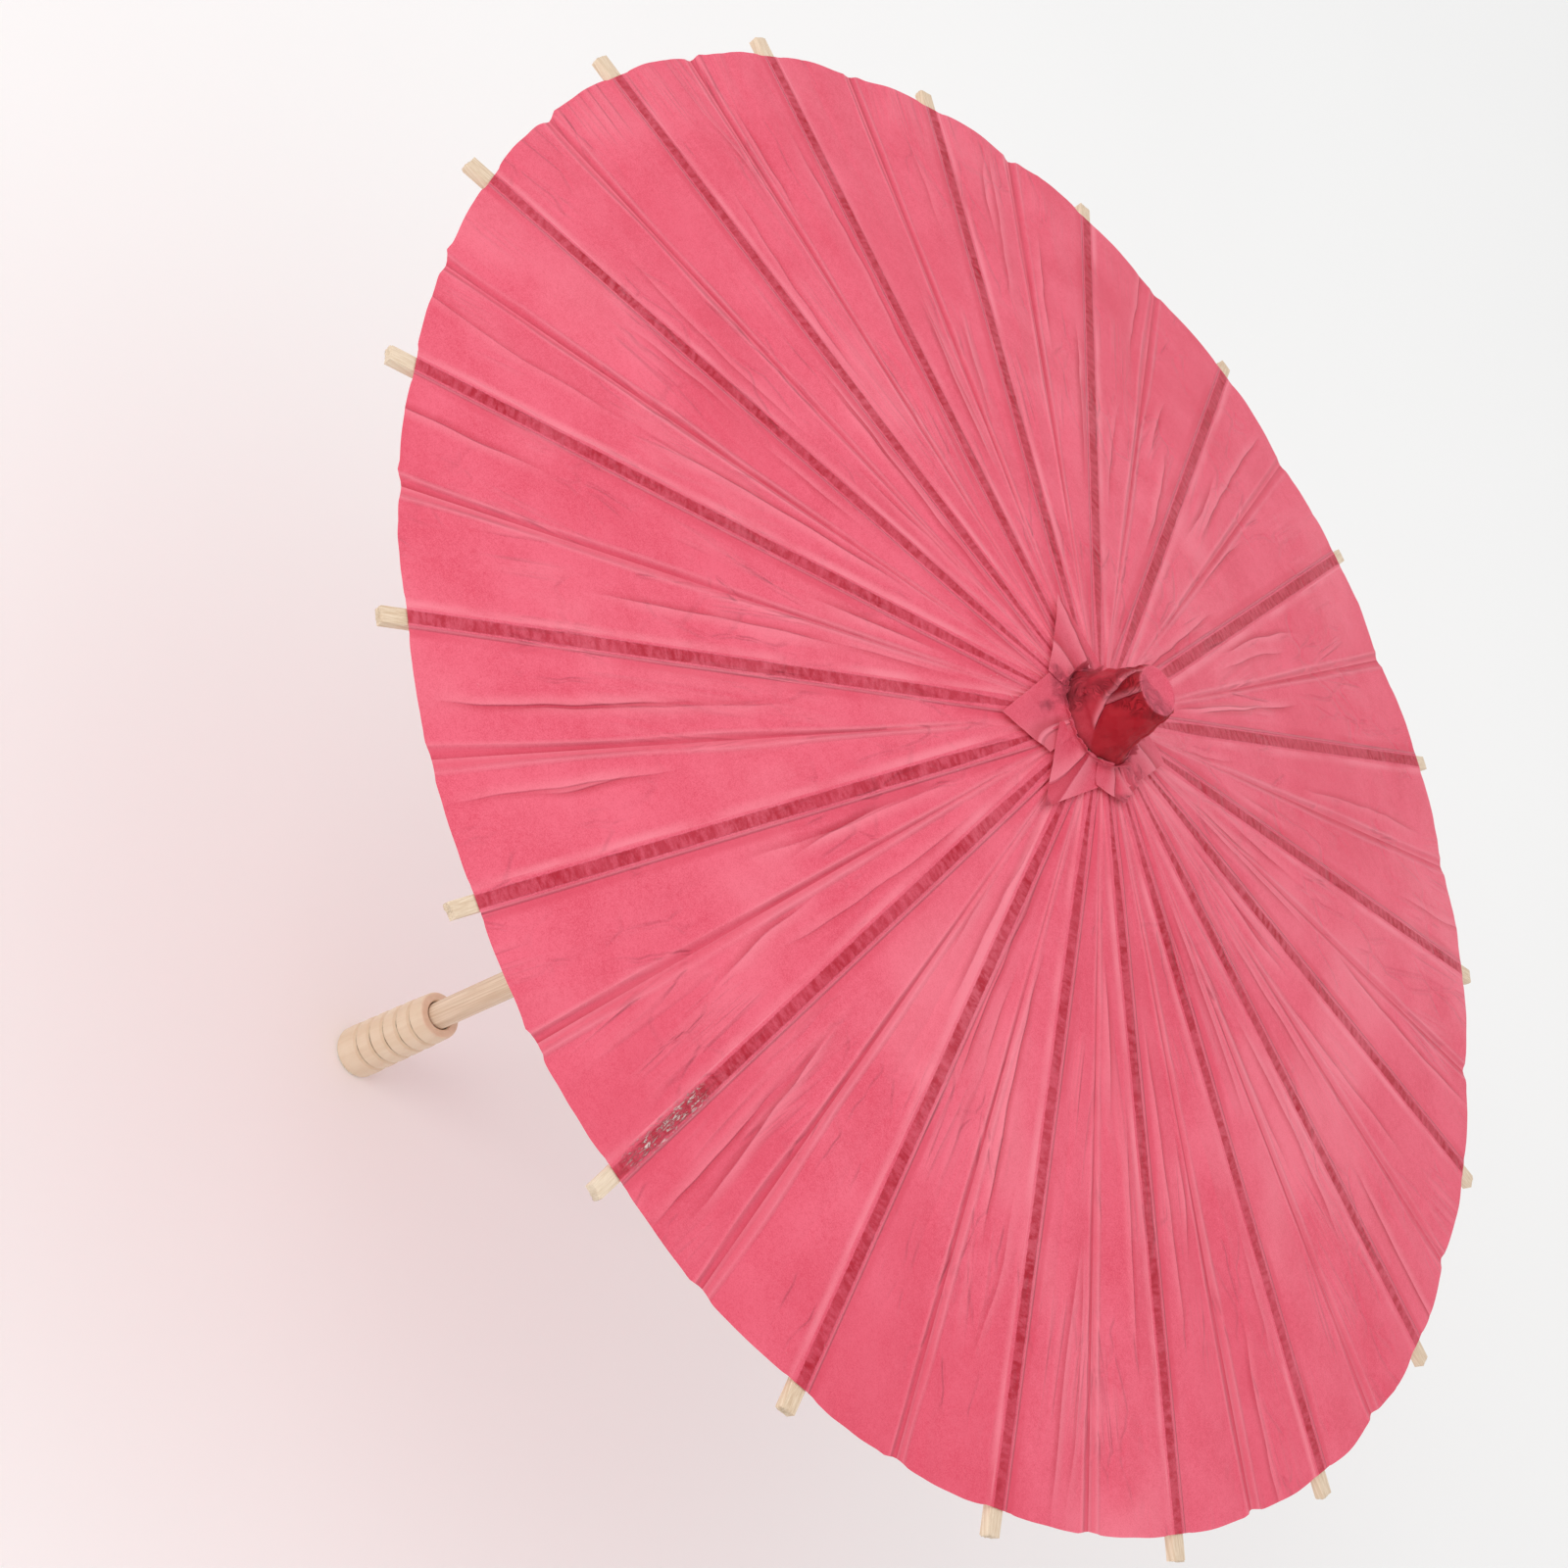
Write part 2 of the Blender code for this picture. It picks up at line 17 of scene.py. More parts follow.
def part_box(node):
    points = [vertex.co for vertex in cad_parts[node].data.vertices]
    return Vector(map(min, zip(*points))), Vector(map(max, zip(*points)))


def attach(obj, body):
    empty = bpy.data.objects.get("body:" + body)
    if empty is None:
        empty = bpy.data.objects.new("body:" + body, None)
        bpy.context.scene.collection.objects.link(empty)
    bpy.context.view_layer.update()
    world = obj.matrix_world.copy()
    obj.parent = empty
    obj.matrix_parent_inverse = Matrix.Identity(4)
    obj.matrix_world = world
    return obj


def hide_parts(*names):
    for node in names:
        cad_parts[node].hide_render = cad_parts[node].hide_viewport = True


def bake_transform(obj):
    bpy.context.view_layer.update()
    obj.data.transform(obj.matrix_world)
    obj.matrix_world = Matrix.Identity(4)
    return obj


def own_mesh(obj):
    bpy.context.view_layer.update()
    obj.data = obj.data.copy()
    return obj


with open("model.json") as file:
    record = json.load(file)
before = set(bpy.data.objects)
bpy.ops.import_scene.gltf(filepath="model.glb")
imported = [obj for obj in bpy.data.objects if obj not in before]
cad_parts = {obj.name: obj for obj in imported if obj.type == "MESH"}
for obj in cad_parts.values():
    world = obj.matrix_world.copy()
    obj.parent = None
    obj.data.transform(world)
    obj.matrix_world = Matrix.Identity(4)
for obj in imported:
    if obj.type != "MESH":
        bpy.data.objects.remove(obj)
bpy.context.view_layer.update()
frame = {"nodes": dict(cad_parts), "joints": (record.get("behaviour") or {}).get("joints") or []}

bl_info = {
    "name": "Oil Paper Umbrella",
    "version": (1, 0, 0),
    "blender": (4, 5, 0),
    "location": "3D View > Sidebar > Umbrella",
    "description": "Builds the paper, bamboo and turned wood of a small folding umbrella",
    "category": "Object",
}

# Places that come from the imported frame
JOINTS = {joint["name"]: joint for joint in frame["joints"]}
RIBS = sum(name.endswith("_fold") for name in JOINTS)
SECTOR = 2 * math.pi / RIBS
HALF_SECTOR = SECTOR / 2
PIVOT_RADIUS, _, PIVOT_Z = JOINTS["rib_01_fold"]["pos_m"]
TOP_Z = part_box("head_cover")[1].z
PAPER_EDGE = max(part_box("canopy")[1].x, -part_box("canopy")[0].x)
POLE_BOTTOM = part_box("pole")[0].z
POLE_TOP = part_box("pole")[1].z
POLE_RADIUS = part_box("pole")[1].x
GRIP_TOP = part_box("handle")[1].z
CATCH_LOW, CATCH_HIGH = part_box("catch")

# Ribs, in metres
OPEN = math.radians(80.7)
RIB_LENGTH = 0.198
RIB_HALF_HEIGHT = 0.0013
RIB_HALF_WIDTH = 0.00195
EYE_HALF_WIDTH = 0.00065
NECK = 0.0048
TAPER_END = 0.052
JOINT_DISTANCE = 0.086
JOINT_DROP = 0.0005

# Paper of the canopy, in metres
PAPER_LEVEL = 0.00155
HOLE_RADIUS = 0.0125
STRIP_INNER = 0.001682
STRIP_OUTER = 0.0030
STRIP_END = 0.192
CREASE_SIDE = 0.0027
FOLD_LEAN = math.radians(6.968)
FOLD_EDGE = 0.00018
ROWS = 116
HALF_COLUMNS = 32
STRIP_COLUMNS = 7
WORN_RIB = 5

# Slot for the catch, in metres
SLOT_ROOM = 0.0003
SLOT_FLOOR = 0.0012

# Turned grip, in metres
GRIP_BASE_RADIUS = 0.0079
GRIP_TOP_RADIUS = 0.0072
GROOVES = 5
FIRST_GROOVE = 0.0089
GROOVE_PITCH = 0.0061
GROOVE_DEPTH = 0.00085
GROOVE_HALF_WIDTH = 0.00085
SOCKET_FLOOR = 0.0120

# Head cover, in metres and degrees
COVER_TOP_RADIUS = 0.0065
COVER_NECK_RADIUS = 0.0114
COVER_LEVEL = 0.0028
COVER_COLUMNS = 168
CONE_ROWS = 40
FRILL_COLUMNS = 240
PETAL_COLUMNS = 34
# How far each rim of the sunk top reaches, as a share, and how deep it lies
TOP_RINGS = (
    (0.97, -0.00012),
    (0.90, -0.00005),
    (0.80, 0.00028),
    (0.6, 0.00042),
    (0.4, 0.00045),
    (0.2, 0.00045),
    (0.02, 0.00045),
)
# Each turned edge of the cone: start, slant, size, way round, and where it begins
TURNED_EDGES = (
    (2.00, -1.75, 0.9, -1, 0.18),
    (1.18, 0.00, 0.5, -1, 0.45),
    (2.75, 0.60, 0.5, 1, -0.10),
    (4.60, -1.20, 0.8, 1, -0.10),
    (5.60, 1.00, 0.7, 1, -0.10),
)
# Each petal: left edge, tip and right edge as (turn, radius), and a rib number
PETALS = (
    ((302, 0.0155), (332.5, 0.0346), (24, 0.0188), 18),
    ((26, 0.0185), (62.5, 0.0346), (88, 0.0235), 4),
    ((70, 0.0160), (105, 0.0357), (140, 0.0185), 6),
    ((132, 0.0192), (160, 0.0226), (190, 0.0202), 9),
    ((172, 0.0190), (223, 0.0285), (238, 0.0210), 13),
    ((230, 0.0195), (262, 0.0300), (308, 0.0165), 15),
)
PETAL_BEND = (0.0128, 0.0165)

# Camera, in metres
CAMERA_SPOT = (0.1136, 0.7331, 0.7942)
CAMERA_RIGHT = (-0.4954, -0.5092, 0.7037)
CAMERA_BACK = (0.0999, 0.7714, 0.6285)


def local_to_frame(along, across, lift, turn):
    """Points given along, across and above an open rib, in the shared frame."""
    x = PIVOT_RADIUS + along * math.sin(OPEN) + lift * math.cos(OPEN)
    z = PIVOT_Z - along * math.cos(OPEN) + lift * math.sin(OPEN)
    y = across + 0.0 * x
    c, s = math.cos(turn), math.sin(turn)
    return np.stack([c * x - s * y, s * x + c * y, z + 0.0 * y], axis=-1)


def height_above_rib(radius, lift):
    """Height of the surface that lies a lift above the middle line of an open rib."""
    return PIVOT_Z - (radius - PIVOT_RADIUS) / math.tan(OPEN) + lift / math.sin(OPEN)


def rib_half_width(along):
    """Half width of a rib, which is narrow at its eye and full from the taper's end on."""
    share = np.clip((along - NECK) / (TAPER_END - NECK), 0, 1)
    return EYE_HALF_WIDTH + share * (RIB_HALF_WIDTH - EYE_HALF_WIDTH)


def smooth_step(value, low, high):
    share = np.clip((value - low) / (high - low), 0, 1)
    return share * share * (3 - 2 * share)


def bell(value, middle, width):
    return np.exp(-(((value - middle) / width) ** 2))


def stretch(value, first, full, falling, last):
    """1 along a stretch, and down to 0 before and after it."""
    return smooth_step(value, first, full) * (1 - smooth_step(value, falling, last))


def round_pole(radius, turns, height):
    return np.stack([radius * np.cos(turns), radius * np.sin(turns), height + 0 * turns], -1)


def rib_name(rib):
    return f"rib_{rib + 1:02d}"


def finished(shape, name):
    mesh = bpy.data.meshes.new(name)
    shape.to_mesh(mesh)
    shape.free()
    return mesh


def linked(name, data):
    item = bpy.data.objects.new(name, data)
    bpy.context.scene.collection.objects.link(item)
    return item


def rolling(first, second, seed, wavelength, waves=9):
    """Gentle unevenness over a surface, from -1 to 1, with no direction of its own."""
    rng = np.random.default_rng(seed)
    total = 0.0 * (first + second)
    for _ in range(waves):
        turn = rng.uniform(0, 2 * math.pi)
        pitch = 2 * math.pi / (wavelength * rng.uniform(0.6, 1.7))
        shift = rng.uniform(0, 2 * math.pi)
        total = total + np.sin(
            pitch * (first * math.cos(turn) + second * math.sin(turn)) + shift
        )
    return total / waves


def surface(name, grid, values=None, round_trip=False, normals=None, flipped=False):
    """A smooth single layer through rows of points, with named values at them."""
    rows, columns = grid.shape[:2]
    index = np.arange(rows * columns).reshape(rows, columns)
    after = np.roll(index, -1, axis=1) if round_trip else index[:, 1:]
    here = index if round_trip else index[:, :-1]
    faces = np.stack([here[:-1], here[1:], after[1:], after[:-1]], axis=-1)
    if flipped:
        faces = faces[..., ::-1]
    mesh = bpy.data.meshes.new(name)
    mesh.from_pydata(grid.reshape(-1, 3).tolist(), [], faces.reshape(-1, 4).tolist())
    for label, value in (values or {}).items():
        layer = mesh.attributes.new(label, "FLOAT", "POINT")
        layer.data.foreach_set("value", np.asarray(value, np.float32).ravel())
    mesh.shade_smooth()
    if normals is not None:
        mesh.normals_split_custom_set_from_vertices(normals.reshape(-1, 3).tolist())
    return mesh


def lathe(name, profile, segments, waviness, seed):
    """Spin an outline of (radius, height) points round the pole's axis, slightly untrue."""
    radius, height = (np.array(column)[:, None] for column in zip(*profile))
    turns = np.linspace(0, 2 * math.pi, segments, endpoint=False)[None, :]
    wave = waviness * rolling(turns * 0.01, height, seed, 0.03) * (radius > 0)
    mesh = surface(name, round_pole(radius + wave, turns, height), round_trip=True)
    shape = bmesh.new()
    shape.from_mesh(mesh)
    bmesh.ops.remove_doubles(shape, verts=shape.verts, dist=1e-7)
    bmesh.ops.recalc_face_normals(shape, faces=shape.faces)
    shape.to_mesh(mesh)
    shape.free()
    mesh.shade_smooth()
    mesh.set_sharp_from_angle(angle=math.radians(38))
    return mesh


def tube(name, path, radius, sides):
    """A round strand along a path, closed at both ends."""
    path = np.array(path)
    forward = np.gradient(path, axis=0)
    forward /= np.linalg.norm(forward, axis=1, keepdims=True)
    side = np.cross(forward, (0.31, 0.47, 0.83))
    side /= np.linalg.norm(side, axis=1, keepdims=True)
    lift = np.cross(side, forward)
    turns = np.linspace(0, 2 * math.pi, sides, endpoint=False)[None, :, None]
    spread = np.cos(turns) * side[:, None] + np.sin(turns) * lift[:, None]
    grid = path[:, None] + radius * spread
    shape = bmesh.new()
    rings = [[shape.verts.new(point) for point in ring] for ring in grid]
    for ring, after in zip(rings, rings[1:]):
        for k in range(sides):
            shape.faces.new((ring[k], ring[k - 1], after[k - 1], after[k]))
    shape.faces.new(rings[0])
    shape.faces.new(rings[-1])
    bmesh.ops.recalc_face_normals(shape, faces=shape.faces)
    mesh = finished(shape, name)
    mesh.shade_smooth()
    return mesh


def place(name, mesh, material, body=None, stands_for=()):
    """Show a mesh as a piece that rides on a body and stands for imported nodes."""
    item = linked(name, mesh)
    mesh.materials.clear()
    mesh.materials.append(material)
    if body:
        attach(item, body)
    if stands_for:
        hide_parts(*stands_for)
    return item


def refinish(node, material):
    """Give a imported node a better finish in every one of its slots."""
    item = frame["nodes"][node]
    if not item.material_slots:
        raise RuntimeError(f"{node} has no material slot to fill")
    for place_for in item.material_slots:
        place_for.material = material


def ease_edges(node, width):
    """Take the sharpness off a packed slat's long edges."""
    bevel = frame["nodes"][node].modifiers.new("eased edges", "BEVEL")
    bevel.width = width
    bevel.segments = 2
    bevel.limit_method = "ANGLE"
    bevel.angle_limit = math.radians(50)


class Shade:
    """A socket of a material. Arithmetic on it adds Math nodes."""

    def __init__(self, tree, socket):
        self.tree = tree
        self.socket = socket

    def node(self, kind, settings=None, inputs=None, output=0):
        """Add a node: its settings first, then values or links for its sockets."""
        added = self.tree.nodes.new(kind)
        for key, value in (settings or {}).items():
            setattr(added, key, value)
        for key, value in (inputs or {}).items():
            if isinstance(value, Shade):
                self.tree.links.new(value.socket, added.inputs[key])
            else:
                added.inputs[key].default_value = value
        return Shade(self.tree, added.outputs[output]) if added.outputs else None

    def maths(self, operation, *values, clamp=False):
        settings = {"operation": operation, "use_clamp": clamp}
        return self.node("ShaderNodeMath", settings, dict(enumerate(values)))

    def __add__(self, other):
        return self.maths("ADD", self, other)

    __radd__ = __add__

    def __sub__(self, other):
        return self.maths("SUBTRACT", self, other)

    def __rsub__(self, other):
        return self.maths("SUBTRACT", other, self)

    def __mul__(self, other):
        return self.maths("MULTIPLY", self, other)

    __rmul__ = __mul__

    def __truediv__(self, other):
        return self.maths("DIVIDE", self, other)

    def __abs__(self):
        return self.maths("ABSOLUTE", self)

    def between(self, low, high, start=0.0, end=1.0):
        """Rise smoothly from start to end as the value goes from low to high."""
        settings = {"interpolation_type": "SMOOTHSTEP", "clamp": True}
        inputs = {0: self, 1: low, 2: high, 3: start, 4: end}
        return self.node("ShaderNodeMapRange", settings, inputs)

    def fading(self, low, high):
        return self.between(low, high, 1.0, 0.0)

    def near(self, middle, width):
        """1 at a value, and down to 0 a width away from it."""
        return (1 - abs(self - middle) / width).clamped()

    def clamped(self):
        return self.maths("ADD", self, 0.0, clamp=True)

    def mixed(self, first, second):
        """A colour between two, by this value."""
        settings = {"data_type": "RGBA", "clamp_factor": True}
        colours = [c if isinstance(c, Shade) else (*c, 1.0) for c in (first, second)]
        inputs = {0: self, 6: colours[0], 7: colours[1]}
        return self.node("ShaderNodeMix", settings, inputs, output=2)


class Finish:
    """One material: where its points are, its noises, and its surface."""

    def __init__(self, name):
        self.material = bpy.data.materials.new(name)
        self.material.use_nodes = True
        self.tree = self.material.node_tree
        self.tree.nodes.clear()
        self.start = Shade(self.tree, None)
        self.point = self.start.node("ShaderNodeTexCoord", output=3)

    def value(self, label):
        return self.start.node("ShaderNodeAttribute", {"attribute_name": label}, output=2)

    def parts(self, vector):
        return [
            self.start.node("ShaderNodeSeparateXYZ", None, {0: vector}, output=axis)
            for axis in range(3)
        ]

    def joined(self, x, y, z):
        return self.start.node("ShaderNodeCombineXYZ", None, {0: x, 1: y, 2: z})

    def stretched(self, vector, scale):
        settings = {"operation": "MULTIPLY"}
        return self.start.node("ShaderNodeVectorMath", settings, {0: vector, 1: scale})

    def noise(self, vector, scale, detail=3.0, roughness=0.55, distortion=0.0):
        inputs = {"Vector": vector, "Scale": scale, "Detail": detail}
        inputs.update({"Roughness": roughness, "Distortion": distortion})
        return self.start.node("ShaderNodeTexNoise", None, inputs)

    def streaks(self, x, y, z, *details):
        """Noise that is drawn out along some of its directions."""
        return self.noise(self.joined(x, y, z), 1.0, *details)

    def coated(self, colour, *coats):
        """Lay more colours over one, each as strongly as its cover says."""
        for cover, over in coats:
            colour = cover.mixed(colour, over)
        return colour

    def cracks(self, vector, scale):
        """0 along the lines of a crumpled net, rising away from them."""
        settings = {"feature": "DISTANCE_TO_EDGE"}
        inputs = {"Vector": vector, "Scale": scale}
        return self.start.node("ShaderNodeTexVoronoi", settings, inputs)

    def bumped(self, height, depth):
        """Surface direction over a height that runs from 0 to 1 and is a depth deep."""
        return self.start.node("ShaderNodeBump", None, {"Height": height, "Distance": depth})

    def surfaced(self, colour, roughness, normal, glow=0.0, glow_colour=None, **plain):
        """Finish the material. A share of glow lets light through from behind."""
        inputs = {"Base Color": colour, "Roughness": roughness, "Normal": normal}
        inputs.update({key.replace("_", " "): value for key, value in plain.items()})
        skin = self.start.node("ShaderNodeBsdfPrincipled", None, inputs)
        if glow:
            behind = {"Color": glow_colour, "Normal": normal}
            lit = self.start.node("ShaderNodeBsdfTranslucent", None, behind)
            skin = self.start.node("ShaderNodeMixShader", None, {0: glow, 1: skin, 2: lit})
        self.start.node("ShaderNodeOutputMaterial", None, {0: skin})
        return self.material


def oiled_paper(name, look, on_ribs):
    """Dyed paper with a soft oil sheen. Over the ribs it shows them through the glue as painted
    shade.
    """
    finish = Finish(name)
    point = finish.point
    grain = finish.noise(point, 3000.0, 3.0, 0.8)
    cloud = finish.noise(point, 45.0, 4.0, 0.6)
    fleck = finish.noise(point, 620.0, 2.0, 0.6)
    tone = (grain - 0.5) * 2.3 + (cloud - 0.5) * 1.0 + (fleck - 0.5) * 0.45 + 0.60
    wash = finish.noise(point, 13.0, 3.0, 0.55)
    colour = finish.coated(
        tone.between(0.05, 0.95).mixed(look.deep_and_shade_colour, look.colour),
        (wash.between(0.50, 0.68, 0.0, 0.34), look.pale_and_highlight_colour),
        (wash.between(0.32, 0.50, 0.34, 0.0), look.deep_and_shade_colour),
    )
    height = grain * 0.10 + fleck * 0.05
    net_at, net_scale = point, 170.0
    if not on_ribs:
        # On the head cover: painted shadow in tucks and gaps, pale torn edges, and painted
        # highlight on the wound edges
        colour = finish.coated(
            colour,
            # Deeper colour of the wound turns, which is also painted shade on the cone's side
            (finish.value("layered_and_shaded") * 0.95, look.layered_and_shade_colour),
            (finish.value("contact_shadow") * 0.95, look.shadow_and_tear_colour),
            (finish.value("edge") * 0.60, look.pale_and_highlight_colour),
        )
    for label in ("a", "b"):
        off = finish.value("fold_" + label)
        run = finish.value("run_" + label)
        other = 0 - off
        lit = other.between(0.0, FOLD_EDGE) * other.fading(0.0, 0.0034) * run
        shaded = off.between(0.0, FOLD_EDGE) * off.fading(0.0, 0.0022) * run
        coats = (lit * 0.48, look.pale_and_highlight_colour), (shaded * 0.48, look.rib_and_shade_colour)
        colour = finish.coated(colour, *coats)
        height = height + (lit - shaded) * 0.22
    if on_ribs:
        colour, height, net_at = paper_on_ribs(finish, look, colour, height)
        net_scale = 1.0
    patchy = finish.noise(point, 34.0, 3.0, 0.6).between(0.50, 0.62)
    warp = (finish.noise(point, 60.0, 2.0, 0.5) - 0.5) * 0.6
    inputs = {0: net_at, 1: finish.joined(warp, warp, warp)}
    warped = finish.start.node("ShaderNodeVectorMath", {"operation": "ADD"}, inputs)
    crumple = finish.cracks(warped, net_scale).between(0.0, 0.10) * patchy + (1 - patchy)
    return finish.surfaced(
        colour,
        grain * 0.16 + (look.roughness - 0.08),
        finish.bumped(height + crumple * 0.38, look.relief),
        glow=look.glow,
        glow_colour=(*look.glow_colour, 1.0),
        Sheen_Weight=0.02,
        Sheen_Roughness=0.5,
        Sheen_Tint=(1.0, 0.6, 0.65, 1.0),
        Specular_IOR_Level=0.16,
    )


def paper_on_ribs(finish, look, colour, height):
    """Add what shows along the ribs and creases: glue and the rib's painted shade through it,
    ridges with painted highlight, painted shade and highlight beside them, and wear.
    """
    point = finish.point
    along = finish.value("along")
    across = finish.value("across")
    crease = finish.value("crease")
    panel = finish.value("panel")
    scuff = finish.value("scuff")
    share = along / STRIP_END
    # Ridges beside the creases and fine pleats along the panels, raised in the bump and given a
    # painted highlight on top, and a valley beside each crease with painted shade
    streak = finish.streaks(along * 8.0, across * 105.0, panel * 37.0, 3.0, 0.6, 0.4)
    pleats = (1 - abs(streak - 0.5) * 13.0).clamped()
    pleats = pleats * finish.noise(point, 22.0, 1.0).between(0.50, 0.66)
    offset = crease - share * CREASE_SIDE
    streaky_strength = finish.streaks(along * 26.0, panel * 57.0, 8.0, 2.0)
    ridge = offset.near(0.0, 0.00095) * streaky_strength.between(0.25, 0.65, 0.25, 1.0)
    valley = offset.near(-0.0014, 0.0013) * share.between(0.1, 0.5)
    # Painted shade along one side of each rib and painted highlight along the other, with a thin
    # painted highlight line at the strip's edge
    other = 0 - across
    turns = finish.streaks(along * 30.0, panel * 91.0, 0.0, 2.0)
    highlight_line = across.near(0.00245, 0.0005)
    shade_band = across.between(0.0022, 0.0026) * across.fading(0.0040, 0.0056)
    highlight_band = other.between(0.0021, 0.0025) * other.fading(0.0030, 0.0052)
    # Glue over the rib, and the rib seen through the paper as a ragged dark band of painted shade
    width = along.between(0.0, TAPER_END, EYE_HALF_WIDTH, RIB_HALF_WIDTH)
    ragged = (finish.noise(point, 1300.0, 2.0) - 0.5) * 0.0005
    over_rib = (abs(across) + ragged - width).fading(-0.00062, -0.00022)
    beads = finish.streaks(along * 620.0, across * 260.0, panel * 11.0, 3.0, 0.65)
    patch = finish.streaks(along * 55.0, panel * 23.0, 3.0, 2.0)
    bonded = beads.between(0.34, 0.66, 1.0, 0.48) * patch.between(0.25, 0.7, 1.0, 0.72)
    # Painted shade on one side of the crease and painted highlight on the other
    opened = across.between(-0.0001, 0.0001)
    at_rim = share.between(0.15, 0.6)
    crease_shade = crease.fading(0.0, 0.0016) * opened * at_rim
    crease_highlight = crease.fading(0.0, 0.0034) * (1 - opened) * at_rim
    # Torn fibres where the paper over a rib is rubbed through, and dried glue near the hub
    fibres = finish.streaks(along * 300.0, across * 1300.0, 5.0, 3.0, 0.7, 1.6)
    torn = scuff * fibres.between(0.52, 0.60)
    near_hub = along.between(0.02, 0.10, 1.0, 0.25)
    glue = finish.noise(point, 190.0, 4.0, 0.75, 2.2).between(0.705, 0.76) * near_hub
    colour = finish.coated(
        colour,
        # Painted shade and painted highlight beside the ribs
        (shade_band * turns.between(0.3, 0.6) * 0.60, look.deep_and_shade_colour),
        (highlight_band * turns.between(0.35, 0.65, 0.6, 0.1), look.pale_and_highlight_colour),
        # Painted shade and painted highlight on the two sides of each crease
        (crease_shade * streaky_strength.between(0.3, 0.6, 0.30, 0.62), look.rib_and_shade_colour),
        (crease_highlight * streaky_strength.between(0.3, 0.6, 0.20, 0.50), look.pale_and_highlight_colour),
        # Painted highlight on the ridges, pleats and the strip's edge line, and painted shade in
        # the valleys
        (ridge * 0.50 + pleats * 0.20 + highlight_line * 0.45, look.pale_and_highlight_colour),
        (valley * 0.45, look.deep_and_shade_colour),
        # Painted shade of the rib seen through the glued paper, broken by glue beads
        (over_rib * bonded, look.rib_and_shade_colour),
        (torn, look.torn_colour),
        (scuff * fibres.between(0.34, 0.44, 0.45, 0.0), look.shadow_and_tear_colour),
        (glue * 0.75, look.torn_colour),
    )
    height = height + ridge * 0.40 + pleats * 0.42 + highlight_line * 0.45
    height = height + beads * over_rib * 0.28 + torn * 0.5 - valley * 0.3
    return colour, height, finish.joined(along * 46.0, across * 120.0, panel * 40.0)


def split_bamboo(name, look, radial):
    """Bare bamboo: pale, with long dark fibre bundles that end as specks."""
    finish = Finish(name)
    x, y, z = finish.parts(finish.point)
    if radial:
        angle = finish.start.maths("ARCTAN2", y, x)
        number = finish.start.maths("ROUND", angle / SECTOR)
        from_rib = angle - number * SECTOR
        reach = finish.start.maths("SQRT", x * x + y * y)
        across = reach * finish.start.maths("SINE", from_rib)
        depth = z * 1400.0 + number * 13.7
        fibre_at = finish.joined(reach * 24.0, across * 2600.0, depth)
        tint = finish.streaks(number * 3.1, 2.0, 5.0, 0.0)
        grime = finish.streaks(reach * 120.0, across * 900.0, number * 5.0, 3.0, 0.6)
    else:
        fibre_at = finish.joined(x * 1500.0, y * 1500.0, z * 26.0)
        tint = finish.streaks(0.0, 0.0, z * 9.0, 1.0)
        grime = finish.streaks(x * 500.0, y * 500.0, z * 120.0, 3.0, 0.6)
    fibre = finish.noise(fibre_at, 1.0, 4.0, 0.7)
    bundles = finish.noise(fibre_at, 0.42, 2.0, 0.5)
    colour = finish.coated(
        fibre.between(0.30, 0.72).mixed(look.bamboo_dark, look.bamboo),
        (bundles.between(0.55, 0.72) * 0.45, look.bamboo_dark),
        (tint.between(0.3, 0.75) * 0.35, look.bamboo_pale),
        (grime.between(0.60, 0.78) * 0.25, look.bamboo_dark),
    )
    normal = finish.bumped(fibre * 0.7 + bundles * 0.3, 0.00022)
    rough = fibre.between(0.2, 0.8, look.bamboo_roughness + 0.12, look.bamboo_roughness)
    return finish.surfaced(colour, rough, normal)


def turned_wood(name, look, grooves):
    """Pale turned wood with fine upright grain. The grooves are burnt in with a wire."""
    finish = Finish(name)
    x, y, z = finish.parts(finish.point)
    grain = finish.streaks(x * 420.0, y * 420.0, z * 22.0, 4.0, 0.65, 0.3)
    pores = finish.streaks(x * 2600.0, y * 2600.0, z * 130.0, 2.0)
    tool = finish.streaks(0.0, 0.0, z * 5200.0, 1.0)
    cloud = finish.noise(finish.point, 110.0, 2.0)
    colour = finish.coated(
        grain.between(0.25, 0.75).mixed(look.turned_dark, look.turned),
        (pores.between(0.60, 0.74) * 0.35, look.turned_dark),
        (cloud.between(0.45, 0.75) * 0.30, look.turned_pale),
    )
    if grooves:
        from_first = z - FIRST_GROOVE
        nearest = finish.start.maths("ROUND", from_first / GROOVE_PITCH)
        number = finish.start.maths("MAXIMUM", nearest, 0.0)
        number = finish.start.maths("MINIMUM", number, GROOVES - 1.0)
        wavering = (finish.noise(finish.point, 420.0, 2.0) - 0.5) * 0.0003
        off = abs(from_first - number * GROOVE_PITCH + wavering)
        strength = finish.noise(finish.point, 260.0, 2.0).between(0.3, 0.65, 0.35, 0.95)
        colour = finish.coated(
            colour,
            (off.fading(0.0002, 0.0013) * 0.40, look.turned_dark),
            (off.fading(0.00010, 0.00034) * strength, look.burn),
        )
    normal = finish.bumped(grain * 0.4 + pores * 0.25 + tool * 0.35, 0.00010)
    rough = grain.between(0.2, 0.8, look.turned_roughness + 0.10, look.turned_roughness)
    return finish.surfaced(colour, rough, normal, Coat_Weight=0.06, Coat_Roughness=0.35)


